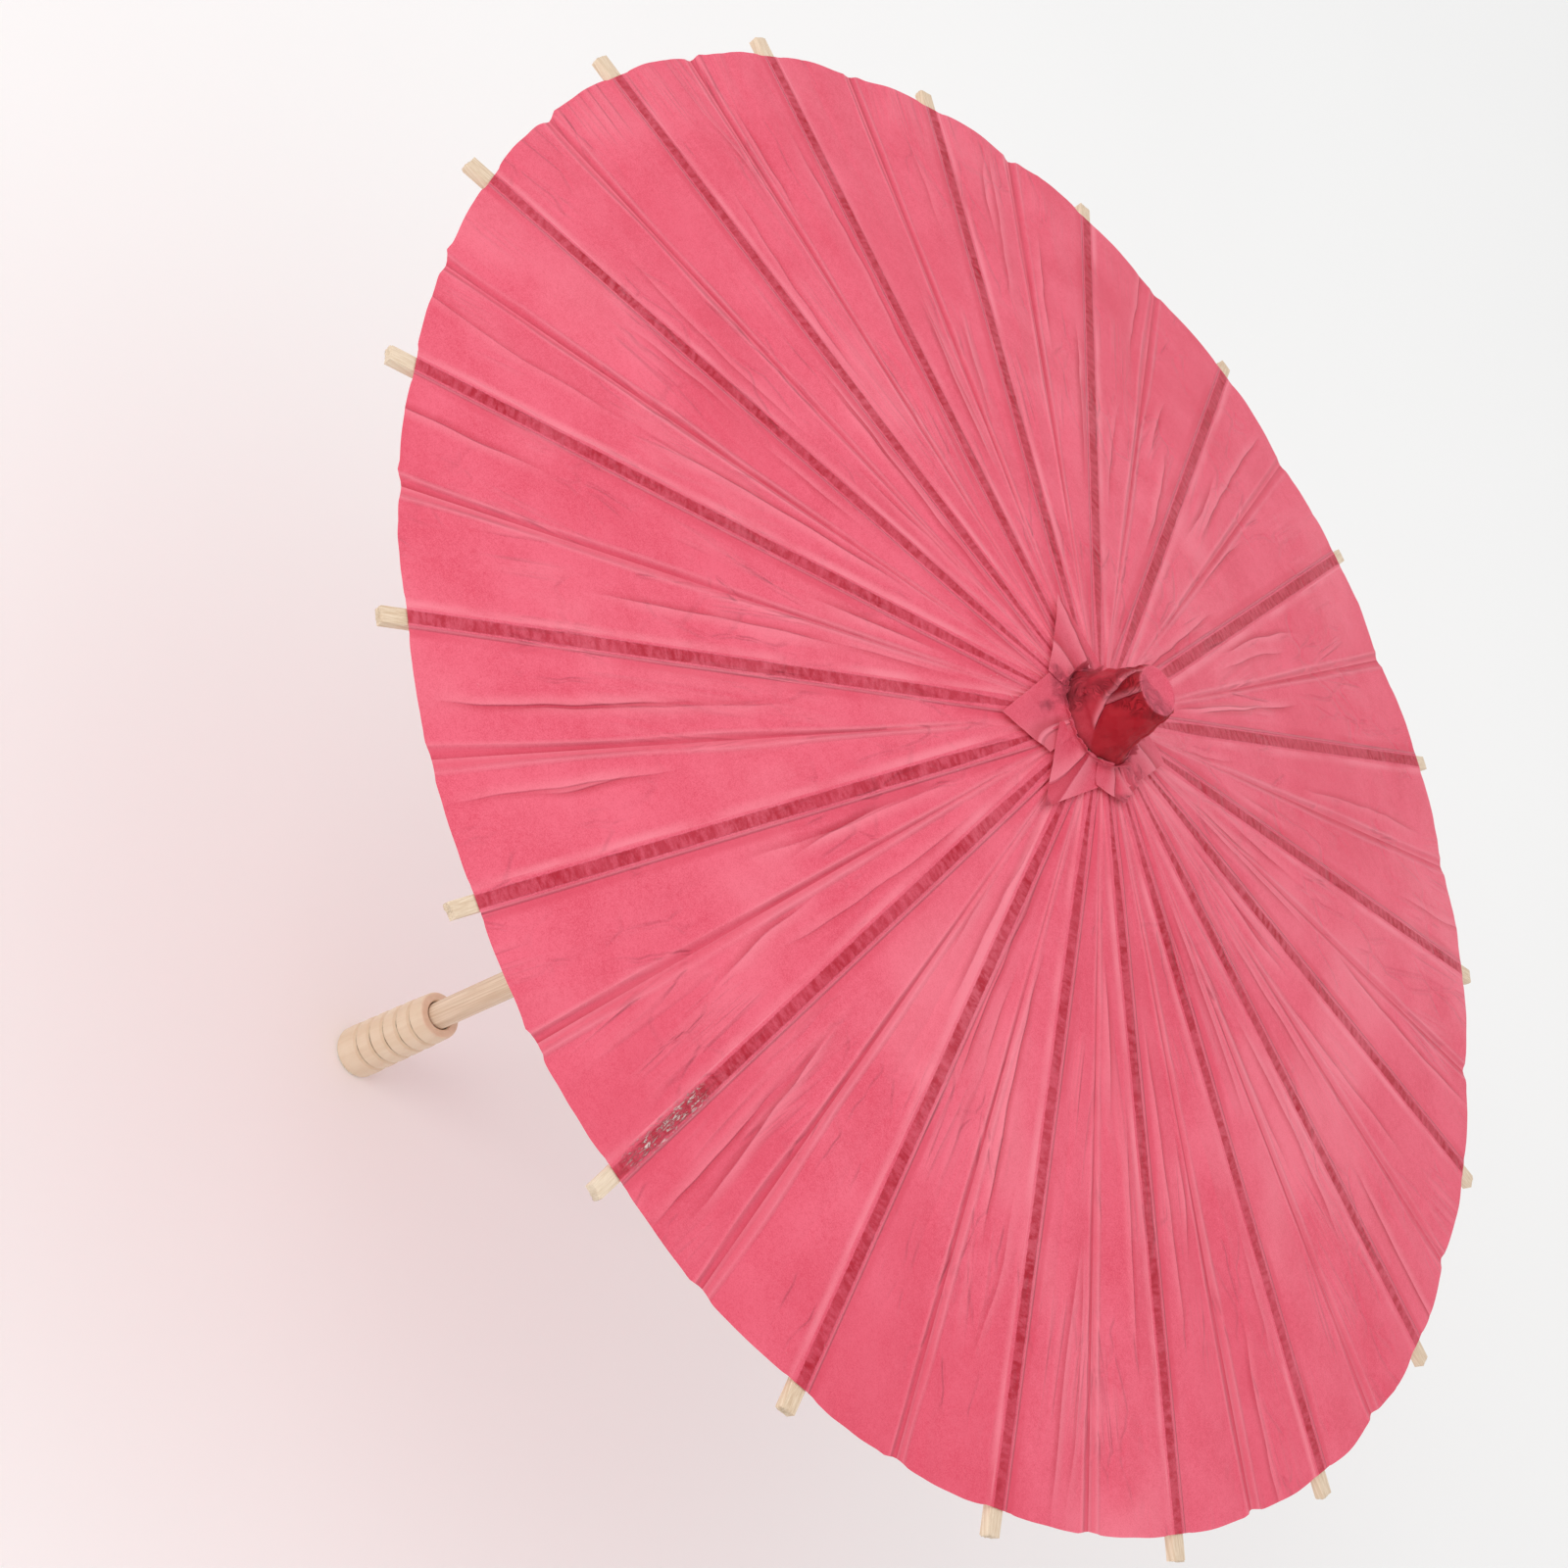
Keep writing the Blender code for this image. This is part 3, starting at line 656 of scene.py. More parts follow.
def drawn_wire(name):
    """Plain steel wire with faint drawing lines and a little dullness."""
    finish = Finish(name)
    dull = finish.noise(finish.point, 900.0, 3.0)
    lines = finish.noise(finish.stretched(finish.point, (4000.0, 4000.0, 300.0)), 1.0, 2.0)
    colour = dull.between(0.3, 0.7).mixed((0.42, 0.40, 0.37), (0.62, 0.60, 0.57))
    rough = dull.between(0.3, 0.8, 0.28, 0.55)
    return finish.surfaced(colour, rough, finish.bumped(lines, 0.00003), Metallic=1.0)


def cotton(name):
    """Undyed twisted thread."""
    finish = Finish(name)
    twist = finish.noise(finish.point, 3800.0, 2.0)
    colour = twist.between(0.3, 0.7).mixed((0.62, 0.56, 0.46), (0.86, 0.82, 0.74))
    return finish.surfaced(colour, 0.85, finish.bumped(twist, 0.0001), Sheen_Weight=0.3)


def pale_floor(name, look):
    """Smooth pale studio floor with hardly any texture."""
    finish = Finish(name)
    cloud = finish.noise(finish.point, 3.0, 3.0)
    duller = [part * 0.985 for part in look.floor_colour]
    colour = cloud.between(0.2, 0.8).mixed(look.floor_colour, duller)
    return finish.surfaced(colour, 0.75, finish.bumped(cloud, 0.0002))


def material(name, maker, *details):
    """The finish of that name, made on first use."""
    return bpy.data.materials.get(name) or maker(name, *details)


def canopy_columns(rib, side, look):
    """Paper of one side of a rib, from the strip's edge to the mid crease, rib laid flat.

    Returns points as (along, across, lift), and the values that the finish needs.
    """
    share = np.linspace(0, 1, HALF_COLUMNS)[None, :]
    share = share + 0.055 * np.sin(2 * math.pi * share)
    radius = np.linspace(HOLE_RADIUS, PAPER_EDGE, ROWS)[:, None]
    panel = rib if side > 0 else (rib - 1) % RIBS
    rng = np.random.default_rng(700 + panel)
    bow, ridge_height, notch, tooth, tone = rng.uniform(0, 1, 5)
    edge_along = (radius - PIVOT_RADIUS - PAPER_LEVEL * math.cos(OPEN)) / math.sin(OPEN)
    edge_across = STRIP_INNER + (STRIP_OUTER - STRIP_INNER) * edge_along / STRIP_END
    x = radius * math.cos(HALF_SECTOR) - PIVOT_RADIUS
    z = height_above_rib(radius / math.cos(HALF_SECTOR), PAPER_LEVEL) - PIVOT_Z
    z = z - look.sag * radius / PAPER_EDGE
    crease_along = x * math.sin(OPEN) - z * math.cos(OPEN)
    crease_lift = x * math.cos(OPEN) + z * math.sin(OPEN)
    crease_across = radius * math.sin(HALF_SECTOR)
    along = edge_along + share * (crease_along - edge_along)
    across = edge_across + share * (crease_across - edge_across)
    lift = PAPER_LEVEL + share * (crease_lift - PAPER_LEVEL)
    from_crease = (crease_across - across) / math.cos(HALF_SECTOR)
    outer = radius / PAPER_EDGE
    wander = 0.0013 * rolling(radius, 0 * radius, 510 + panel, 0.06) * outer
    from_crease = from_crease + wander * smooth_step(1 - share, 0.0, 0.1)
    # How the rim swings out between the ribs and is nicked at the crease
    swing = 0.00105 * np.sin(math.pi * share**0.8) * (1.0 + 0.5 * (tone - 0.5))
    swing = swing - (0.0002 + 0.0010 * notch) * bell(share, 1.0, 0.09)
    if side > 0:
        swing = swing + (0.0001 + 0.0006 * tooth) * bell(share, 0.88, 0.06)
    swing = swing + 0.0003 * rolling(share + 0 * radius, 0 * radius, 900 + panel, 0.5)
    along = along + swing * smooth_step(outer, 0.80, 1.0) * smooth_step(share, 0, 0.1)
    # How the sheet rises and dips, measured straight up
    away_from_rib = smooth_step(share, 0.0, 0.10)
    free = away_from_rib * smooth_step(1 - share, 0.0, 0.12)
    rise = look.billow * (0.1 + 1.2 * bow) * np.sin(math.pi * share) * outer**1.3
    rise = rise + 0.00035 * free * outer * rolling(along, across * side, 40 + panel, 0.045)
    rise = rise + 0.00016 * free * rolling(along * 0.35, across * side, 80 + panel, 0.008)
    offset = from_crease - CREASE_SIDE * outer
    ridge = look.ridge * (0.35 + 0.9 * ridge_height)
    rise = rise + ridge * np.exp(-np.abs(offset) / 0.0008) * smooth_step(outer, 0.05, 0.4)
    half_rng = np.random.default_rng(1300 + 2 * rib + (side > 0))
    width_here = crease_across - edge_across
    folds = {}
    for label in ("a", "b", "c", "d"):
        start = half_rng.uniform(0.15, 0.80)
        end = start + half_rng.uniform(0.18, 0.45)
        first, last = half_rng.uniform(0.15, 0.90, 2)
        size = half_rng.uniform(0.00016, 0.00050) * half_rng.choice([-1, 1])
        bend = half_rng.uniform(-0.10, 0.10)
        reach = np.clip((outer - start) / (end - start), 0, 1)
        middle = first + (last - first) * 0.45 * reach + bend * np.sin(math.pi * reach)
        distance = (share - middle) * width_here
        distance = distance + 0.0006 * rolling(along, 0 * along, 2000 + panel, 0.016)
        run = stretch(outer, start, start + 0.10, end - 0.10, end) * free
        rise = rise + size * np.exp(-np.abs(distance) / 0.0022) * run
        if label in "ab":
            folds["fold_" + label] = distance * half_rng.choice([-1, 1])
            folds["run_" + label] = run * half_rng.uniform(0.5, 1.0)
    pleat = np.cos(share * math.pi * 3) * bell(outer, 0.12, 0.14)
    rise = rise + 0.00022 * pleat * free
    lift = lift + rise * math.sin(OPEN)
    along = along - rise * math.cos(OPEN)
    values = {
        "along": along,
        "across": across * side,
        "crease": from_crease,
        "panel": np.full(along.shape, tone),
        "scuff": scuffed(rib, along, across),
        **folds,
    }
    return np.stack([along, across * side, lift], axis=-1), values


def scuffed(rib, along, across):
    """Where the paper over one rib is worn through, from 0 to 1."""
    if rib != WORN_RIB:
        return 0 * along
    run = stretch(along, 0.157, 0.164, 0.183, 0.190)
    return run * (1 - smooth_step(np.abs(across), 0.0016, 0.0024))


def strip_columns(rib):
    """Paper glued flat over a rib, between the two edges where it starts to pleat."""
    radius = np.linspace(HOLE_RADIUS, PAPER_EDGE, ROWS)[:, None]
    along = (radius - PIVOT_RADIUS - PAPER_LEVEL * math.cos(OPEN)) / math.sin(OPEN)
    half = STRIP_INNER + (STRIP_OUTER - STRIP_INNER) * along / STRIP_END
    share = np.linspace(-1, 1, STRIP_COLUMNS)[None, :]
    across = half * share
    over = 1 - smooth_step(np.abs(across), rib_half_width(along), half)
    uneven = rolling(along, across, 300 + rib, 0.006) + rolling(along, across, 340 + rib, 0.0022)
    lift = PAPER_LEVEL + 0.00007 * over * (1.2 + uneven)
    along = along + 0 * across
    values = {
        "along": along,
        "across": across,
        "crease": np.full(along.shape, 0.02),
        "panel": np.full(along.shape, (rib * 0.37) % 1.0),
        "scuff": scuffed(rib, along, across),
    }
    return np.stack([along, across, lift], axis=-1), values


def in_frame(points, rib):
    return local_to_frame(points[..., 0], points[..., 1], points[..., 2], rib * SECTOR)


def whole_sheet_normals(blocks):
    """Surface direction at every point of the open sheet, all the way round."""
    grid = np.concatenate(blocks, axis=1)
    outward = np.gradient(grid, axis=0)
    round_about = np.roll(grid, -1, axis=1) - np.roll(grid, 1, axis=1)
    normals = np.cross(outward, round_about)
    return normals / np.linalg.norm(normals, axis=-1, keepdims=True)


def paper_area(points):
    down = points[1:, :-1] - points[:-1, :-1]
    over = points[:-1, 1:] - points[:-1, :-1]
    return float(np.linalg.norm(np.cross(down, over), axis=-1).sum())


def flat_size(points):
    """Width and length of the rectangle that a nearly flat piece is cut from, and its area."""
    spots = points.reshape(-1, 3) - points.reshape(-1, 3).mean(axis=0)
    directions = np.linalg.svd(spots, full_matrices=False)[2]
    extents = np.ptp(spots @ directions.T, axis=0)
    length, width = float(extents[0]), float(extents[1])
    return (width, length), min(paper_area(points), width * length)


def wound_size(points):
    """Width and length of the rectangle that is wound into a cone, and the area used."""
    around = np.linalg.norm(np.diff(points, axis=1), axis=-1).sum(axis=1).max()
    length = np.linalg.norm(np.diff(points, axis=0), axis=-1).sum(axis=0).max()
    return (float(around), float(length)), min(paper_area(points), float(around * length))


def build_canopy(look):
    paper = material("oiled_paper_canopy", oiled_paper, look, True)
    blocks, parts = [], []
    for rib in range(RIBS):
        halves = [canopy_columns(rib, -1, look), strip_columns(rib), canopy_columns(rib, 1, look)]
        (left, left_values), strip, right = [
            (in_frame(points, rib), values) for points, values in halves
        ]
        left = left[:, ::-1]
        left_values = {key: value[:, ::-1] for key, value in left_values.items()}
        parts.append(((left, left_values), strip, right))
        blocks.append(np.concatenate([left[:, :-1], strip[0], right[0][:, 1:-1]], axis=1))
    normals = whole_sheet_normals(blocks)
    block_width = blocks[0].shape[1]
    for rib, pieces in enumerate(parts):
        first = rib * block_width
        body = rib_name(rib)
        made = {}
        for label, (points, values) in zip(("left", "strip", "right"), pieces):
            columns = np.arange(first, first + points.shape[1]) % (RIBS * block_width)
            first += points.shape[1] - 1
            name = f"canopy_{rib + 1:02d}_{label}"
            mesh = surface(name, points, values, normals=normals[:, columns])
            made[label] = place(name, mesh, paper, body, ["canopy"])
        for label, side in (("left", -1), ("right", 1)):
            pleat(made[label], rib, side)
            size, area = flat_size(pieces[side + 1][0])


def pleat(item, rib, side):
    """Work out the axis that a half panel would pleat about as its rib comes down, and give the
    panel a mesh of its own.
    """
    turn = rib * SECTOR
    inner = local_to_frame(0.0, STRIP_INNER * side, PAPER_LEVEL, turn)
    outer = local_to_frame(STRIP_END, STRIP_OUTER * side, PAPER_LEVEL, turn)
    edge = (outer - inner) / np.linalg.norm(outer - inner)
    up = local_to_frame(0.0, 0.0, 1.0, turn) - local_to_frame(0.0, 0.0, 0.0, turn)
    inwards = np.cross(up, edge) * side
    axis = math.cos(FOLD_LEAN) * inwards + math.sin(FOLD_LEAN) * up
    f"rib_{rib + 1:02d}_fold"
    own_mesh(item)


def cone_points():
    """Paper wound round the head: overlapping turns, a rounded rim and a sunk flat top."""
    turns = np.linspace(0, 2 * math.pi, COVER_COLUMNS, endpoint=False)[None, :]
    neck_z = height_above_rib(COVER_NECK_RADIUS, COVER_LEVEL)
    share = np.linspace(0, 1, CONE_ROWS)[:, None]
    radius = COVER_NECK_RADIUS + (COVER_TOP_RADIUS - COVER_NECK_RADIUS) * share**0.92
    height = neck_z + (TOP_Z - neck_z) * share
    wound = 0.0 * (turns + share)
    contact_shadow, edge = wound, wound
    folds = {}
    for start, slant, size, way, low in TURNED_EDGES:
        phase = (way * (turns - start - slant * share) / (2 * math.pi)) % 1.0
        run = smooth_step(share, low, low + 0.08) * smooth_step(1 - share, 0.0, 0.04)
        step = 0.0009 * size * np.exp(-phase * 7) * smooth_step(phase, 0.0, 0.010)
        wound = wound + step * run
        # Painted shadow just before each wound edge, and a painted highlight along the edge itself
        contact_shadow = np.maximum(contact_shadow, size * np.exp(-(1 - phase) / 0.011) * run)
        edge = np.maximum(edge, 0.10 * bell(phase, 0.012, 0.006) * run)
        if len(folds) < 4:
            label = "ab"[len(folds) // 2]
            folds["fold_" + label] = (turns - start - slant * share) * COVER_NECK_RADIUS
            folds["run_" + label] = run * (turns < 3.4) * (turns > 0.02)
    # Painted shadow round the foot of the cone, in the gap inside the frill
    contact_shadow = np.maximum(contact_shadow, np.exp(-share / 0.024))
    # Deeper colour all over the cone's side, more past the first wound edge over the part facing
    # the camera. It stops short of the flat top, so it is also painted shade on the side against
    # the lighter top.
    start, slant = TURNED_EDGES[0][:2]
    turned = (start + slant * share - turns) / 0.1
    under = smooth_step(-turned, -0.5, 0.5) * (1 - smooth_step(turns, 3.6, 4.2))
    layered_and_shaded = (0.80 + 0.20 * under) * (1 - smooth_step(share, 0.97, 1.0))
    crumple = rolling(turns * 0.010, height, 21, 0.007) * 0.00070
    crumple = crumple - 0.00045 * np.abs(rolling(turns * 0.010, height, 23, 0.010))
    crumple = crumple + rolling(turns * 0.012, height, 22, 0.0026) * 0.00022
    flare = 0.0009 * np.exp(-share / 0.05) * (1 + rolling(turns * 0.01, 0 * share, 5, 0.01))
    at_rim = 1 - smooth_step(share, 0.93, 1.0)
    radius = radius + (wound + crumple) * (0.35 + 0.65 * at_rim) + flare
    side = round_pole(radius, turns, height)
    rings = []
    for reach, sink in TOP_RINGS:
        ring = side[-1] * [reach, reach, 0.0]
        ring[:, 2] = TOP_Z - sink + 0.00012 * rolling(ring[:, 0], ring[:, 1], 31, 0.005)
        rings.append(ring)
    rim = bell(share, 1.0, 0.012) * 0.35
    values = {"layered_and_shaded": layered_and_shaded, "contact_shadow": contact_shadow, "edge": np.maximum(edge, rim), **folds}
    blank = np.zeros((len(rings), COVER_COLUMNS))
    values = {key: np.concatenate([value, blank], axis=0) for key, value in values.items()}
    return np.concatenate([side, np.array(rings)], axis=0), values


def petal_points(left, tip, right, order):
    """One pointed flap of the skirt, from the neck out to its tip."""
    angles = np.unwrap(np.radians([left[0], tip[0], right[0]]))
    reaches = np.array([left[1], tip[1], right[1]])
    ends = np.stack([np.cos(angles), np.sin(angles)], -1) * reaches[:, None]
    split = int(PETAL_COLUMNS * (angles[1] - angles[0]) / (angles[2] - angles[0]))
    rising = np.linspace(0, 1, split, endpoint=False)[:, None]
    falling = np.linspace(0, 1, PETAL_COLUMNS - split)[:, None]
    rim = np.concatenate(
        [ends[0] + (ends[1] - ends[0]) * rising, ends[1] + (ends[2] - ends[1]) * falling]
    )
    base_turn = np.linspace(angles[0], angles[2], PETAL_COLUMNS)
    neck = (COVER_NECK_RADIUS + 0.0007) * np.stack([np.cos(base_turn), np.sin(base_turn)], -1)
    out = np.append(np.linspace(0, 0.975, 26), (0.99, 1.0))[:, None, None]
    flat = neck[None] + (rim - neck)[None] * out
    reach = np.linalg.norm(flat, axis=-1)
    share = out[..., 0]
    middle = np.linspace(-1, 1, PETAL_COLUMNS)[None, :]
    lift = COVER_LEVEL - 0.0006 + 0.00024 * (order % 2) + 0.00035 * share**2
    lift = lift + 0.0005 * share * (1 - np.abs(middle)) + 0.0002 * share**3
    lift = lift + 0.00042 * share * rolling(flat[..., 0], flat[..., 1], 60 + order, 0.008)
    rough = 1 + rolling(flat[..., 0], flat[..., 1], 90 + order, 0.004)
    lift = lift + 0.0009 * bell(share, 0.02, 0.05) * rough
    rng = np.random.default_rng(40 + order)
    edge = smooth_step(share, 0.985, 1.0) * (0.4 + 0.6 * np.abs(middle))
    # Painted shadow near the neck, under the foot of the cone
    contact_shadow = np.exp(-share / 0.04) * 0.25 + 0 * middle
    values = {"edge": edge, "contact_shadow": contact_shadow, "layered_and_shaded": 0.13 + 0 * edge}
    for label in ("a", "b"):
        start, slant = rng.uniform(-0.6, 0.6, 2)
        across = middle - start - slant * share
        values["fold_" + label] = across * 0.007 * rng.choice([-1, 1])
        values["run_" + label] = smooth_step(share, 0.0, 0.1) + 0 * across
        crease = np.clip(1 - np.abs(across) / 0.35, 0, 1) * smooth_step(share, 0.0, 0.15)
        lift = lift + 0.00055 * crease * rng.choice([-1.0, 1.0]) * (1 - share**3)
    height = height_above_rib(reach, lift)
    return np.concatenate([flat, height[..., None]], axis=-1), values


def build_head_cover(look):
    paper = material("oiled_paper_folded", oiled_paper, look, False)
    cone, values = cone_points()
    mesh = surface("head_cover_cone", cone, values, round_trip=True, flipped=True)
    item = place("head_cover_cone", mesh, paper, "frame", ["head_cover"])
    frill = frill_points()
    # Paler torn top of the frill, and painted shadow lower down towards the gap at its foot
    edge = np.linspace(0, 1, len(frill))[:, None] ** 4 + 0 * frill[..., 0]
    values = {"edge": edge, "contact_shadow": (1 - edge) * 0.3}
    mesh = surface("head_cover_frill", frill, values, round_trip=True, flipped=True)
    torn = place("head_cover_frill", mesh, paper, "frame")
    size, area = wound_size(np.concatenate([cone, cone[:, :1]], axis=1))
    for order, (left, tip, right, rib) in enumerate(PETALS):
        points, values = petal_points(left, tip, right, order)
        name = f"head_cover_petal_{order + 1}"
        petal = place(name, surface(name, points, values), paper)
        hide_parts("head_cover")
        turn = math.radians(tip[0])
        start, end = (
            (reach * math.cos(turn), reach * math.sin(turn), height_above_rib(reach, COVER_LEVEL))
            for reach in PETAL_BEND
        )
        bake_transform(petal)
        size, area = flat_size(points)


def frill_points():
    """Short torn edge that stands up round the foot of the cone."""
    turns = np.linspace(0, 2 * math.pi, FRILL_COLUMNS, endpoint=False)[None, :]
    share = np.linspace(0, 1, 6)[:, None]
    coarse, fine = (
        rolling(turns * 0.012, 0 * share, seed, size) for seed, size in ((71, 0.006), (72, 0.0012))
    )
    ragged = coarse + 0.6 * fine
    tall = np.clip(0.0016 + 0.0028 * ragged, 0.0003, 0.0042)
    radius = COVER_NECK_RADIUS + 0.0014 + 0.0010 * share + 0.0012 * share * ragged
    height = height_above_rib(COVER_NECK_RADIUS, COVER_LEVEL) - 0.0002 + tall * share
    return round_pole(radius, turns, height)


def rib_end_points(rib):
    """Roughly cut end of a rib: eased corners, and fibres of uneven length on its face."""
    rng = np.random.default_rng(500 + rib)
    turns = np.linspace(0, 2 * math.pi, 28, endpoint=False)
    c, s = np.cos(turns), np.sin(turns)
    reach = (np.abs(c) ** 7 + np.abs(s) ** 7) ** (-1 / 7)
    outline = np.stack([c * reach, s * reach], -1)
    outline = outline * (RIB_HALF_WIDTH + 0.00006, RIB_HALF_HEIGHT + 0.00005)
    slant = rng.uniform(-0.28, 0.28)
    uneven = rng.normal(0, 0.00011, len(outline))
    end = RIB_LENGTH + 0.0001
    cut = end + slant * outline[:, 0] + uneven
    rows = [(0.1865, 0.985), (0.1868, 1.0), (0.1925, 1.0), (0.1962, 1.0)]
    rows += [(cut - 0.0005, 0.995), (cut - 0.00012, 0.97)]
    for size in (0.86, 0.6, 0.3, 0.02):
        rough = rng.normal(0, 0.00010, len(outline)) * (size > 0.1)
        rows.append((end + slant * outline[:, 0] * size + rough, size))
    grid = [np.column_stack([distance + 0 * turns, outline * size]) for distance, size in rows]
    return in_frame(np.array(grid), rib)


def build_ribs(look):
    bamboo = material("split_bamboo_ribs", split_bamboo, look, True)
    for rib in range(RIBS):
        body = rib_name(rib)
        refinish(body, bamboo)
        ease_edges(body, 0.00012)
        name = f"{body}_end"
        mesh = surface(name, rib_end_points(rib), round_trip=True, flipped=True)
        place(name, mesh, bamboo, body)


def build_stretchers(look):
    bamboo = material("split_bamboo_ribs", split_bamboo, look, True)
    for rib in range(RIBS):
        node = f"stretcher_{rib + 1:02d}"
        refinish(node, bamboo)
        ease_edges(node, 0.0001)


def build_threads():
    """A short thread through each joint, wound into a small coil at both ends."""
    thread = material("cotton_thread", cotton)
    steps = np.linspace(0, 1, 30)
    turns = steps * 2 * math.pi * 2.2
    outer = RIB_HALF_WIDTH + 0.00022

    def coil(side, size, out):
        x = JOINT_DISTANCE + size * np.cos(turns)
        return np.stack([x, side * (outer + out), size * np.sin(turns) - JOINT_DROP], -1)

    through = [(JOINT_DISTANCE, side * (outer - 0.0004), -JOINT_DROP) for side in (-1, 1)]
    first = coil(-1, 0.00042 * (1 - 0.35 * steps), 0.0002 * (1 - steps))
    last = coil(1, 0.00042 * (0.65 + 0.35 * steps), 0.0002 * steps)
    path = np.concatenate([first, through, last])
    for rib in range(RIBS):
        name = f"joint_thread_{rib + 1:02d}"
        mesh = tube(name, in_frame(path, rib), 0.00021, 7)
        place(name, mesh, thread, rib_name(rib))


def build_pole(look):
    """Slim round pole, slotted for the catch."""
    bamboo = material("split_bamboo_pole", split_bamboo, look, False)
    heights = np.linspace(POLE_BOTTOM, POLE_TOP, 60)
    profile = [(POLE_RADIUS - 0.00003, height) for height in heights]
    profile = [(0.0, POLE_BOTTOM), *profile, (0.0, POLE_TOP)]
    blank = linked("pole_blank", lathe("round_pole", profile, 56, 0.00003, 11))
    room = (CATCH_HIGH.y - CATCH_LOW.y) / 2 + SLOT_ROOM
    low = Vector((-2 * POLE_RADIUS, -room, CATCH_LOW.z - SLOT_ROOM))
    high = Vector((SLOT_FLOOR, room, CATCH_HIGH.z + SLOT_ROOM))
    shape = bmesh.new()
    matrix = Matrix.Translation((low + high) / 2) @ Matrix.Diagonal((*(high - low), 1.0))
    bmesh.ops.create_cube(shape, size=1.0, matrix=matrix)
    cutter = linked("slot_cutter", finished(shape, "slot_cutter"))
    cut = blank.modifiers.new("slot", "BOOLEAN")
    cut.operation = "DIFFERENCE"
    cut.object = cutter
    evaluated = blank.evaluated_get(bpy.context.evaluated_depsgraph_get())
    slotted = bpy.data.meshes.new_from_object(evaluated)
    slotted.name = "round_pole"
    for item in (cutter, blank):
        bpy.data.objects.remove(item)
    place("round_pole", slotted, bamboo, "frame", ["pole"])


def grip_profile():
    """Outline of the grip: barrel-shaped bands with V grooves between them."""

    def barrel(height):
        share = height / GRIP_TOP
        return GRIP_BASE_RADIUS + share * (GRIP_TOP_RADIUS - GRIP_BASE_RADIUS)

    def eased(radius, height, size, degrees):
        return [
            (radius - size + size * math.cos(turn), height + size * math.sin(turn))
            for turn in np.radians(degrees)
        ]

    profile = [(0.0, 0.0), (barrel(0) - 0.0016, 0.0)]
    profile += eased(barrel(0), 0.0013, 0.0013, [-72, -54, -36, -18, 0])
    below = 0.0020
    for groove in range(GROOVES):
        middle = FIRST_GROOVE + groove * GROOVE_PITCH
        low = middle - GROOVE_HALF_WIDTH
        for share in (0.0, 0.25, 0.5, 0.75, 1.0):
            height = below + (low - below) * share
            crown = 0.00016 * (1 - (2 * share - 1) ** 4)
            profile.append((barrel(height) + crown, height))
        for depth, across in ((0.20, -0.84), (1.0, -0.10), (1.0, 0.10), (0.20, 0.84)):
            height = middle + across * GROOVE_HALF_WIDTH
            profile.append((barrel(middle) - depth * GROOVE_DEPTH, height))
        below = middle + GROOVE_HALF_WIDTH
    for share in (0.0, 0.3, 0.6, 0.9):
        height = below + (GRIP_TOP - 0.0009 - below) * share
        profile.append((barrel(height) + 0.00008 * (1 - share), height))
    profile += eased(barrel(GRIP_TOP), GRIP_TOP - 0.0007, 0.0007, [0, 22, 45, 67, 90])
    bore = POLE_RADIUS + 0.0003
    profile += [(bore + 0.00035, GRIP_TOP), (bore, GRIP_TOP - 0.0004)]
    return profile + [(bore, SOCKET_FLOOR), (0.0, SOCKET_FLOOR)]


def build_grip(look):
    wood = material("turned_wood_grip", turned_wood, look, True)
    mesh = lathe("turned_grip", grip_profile(), 96, 0.00003, 17)
    place("turned_grip", mesh, wood, "frame", ["handle"])


def build_hub(look):
    refinish("hub", material("turned_wood_plain", turned_wood, look, False))
    refinish("hub_peg", material("split_bamboo_pole", split_bamboo, look, False))
    refinish("hub_wire", material("drawn_wire", drawn_wire))


def build_runner(look):
    refinish("runner", material("turned_wood_plain", turned_wood, look, False))
    refinish("runner_wire", material("drawn_wire", drawn_wire))


def build_catch():
    refinish("catch", material("drawn_wire", drawn_wire))


def add_light(name, spot, aim, size, power, tint):
    """A square soft light at a spot, turned to its aim."""
    lamp = bpy.data.lights.new(name, "AREA")
    lamp.shape = "SQUARE"
    lamp.size = size
    lamp.energy = power
    lamp.color = tint
    item = linked(name, lamp)
    item.location = spot
    item.rotation_mode = "QUATERNION"
    item.rotation_quaternion = (Vector(aim) - Vector(spot)).to_track_quat("-Z", "Y")


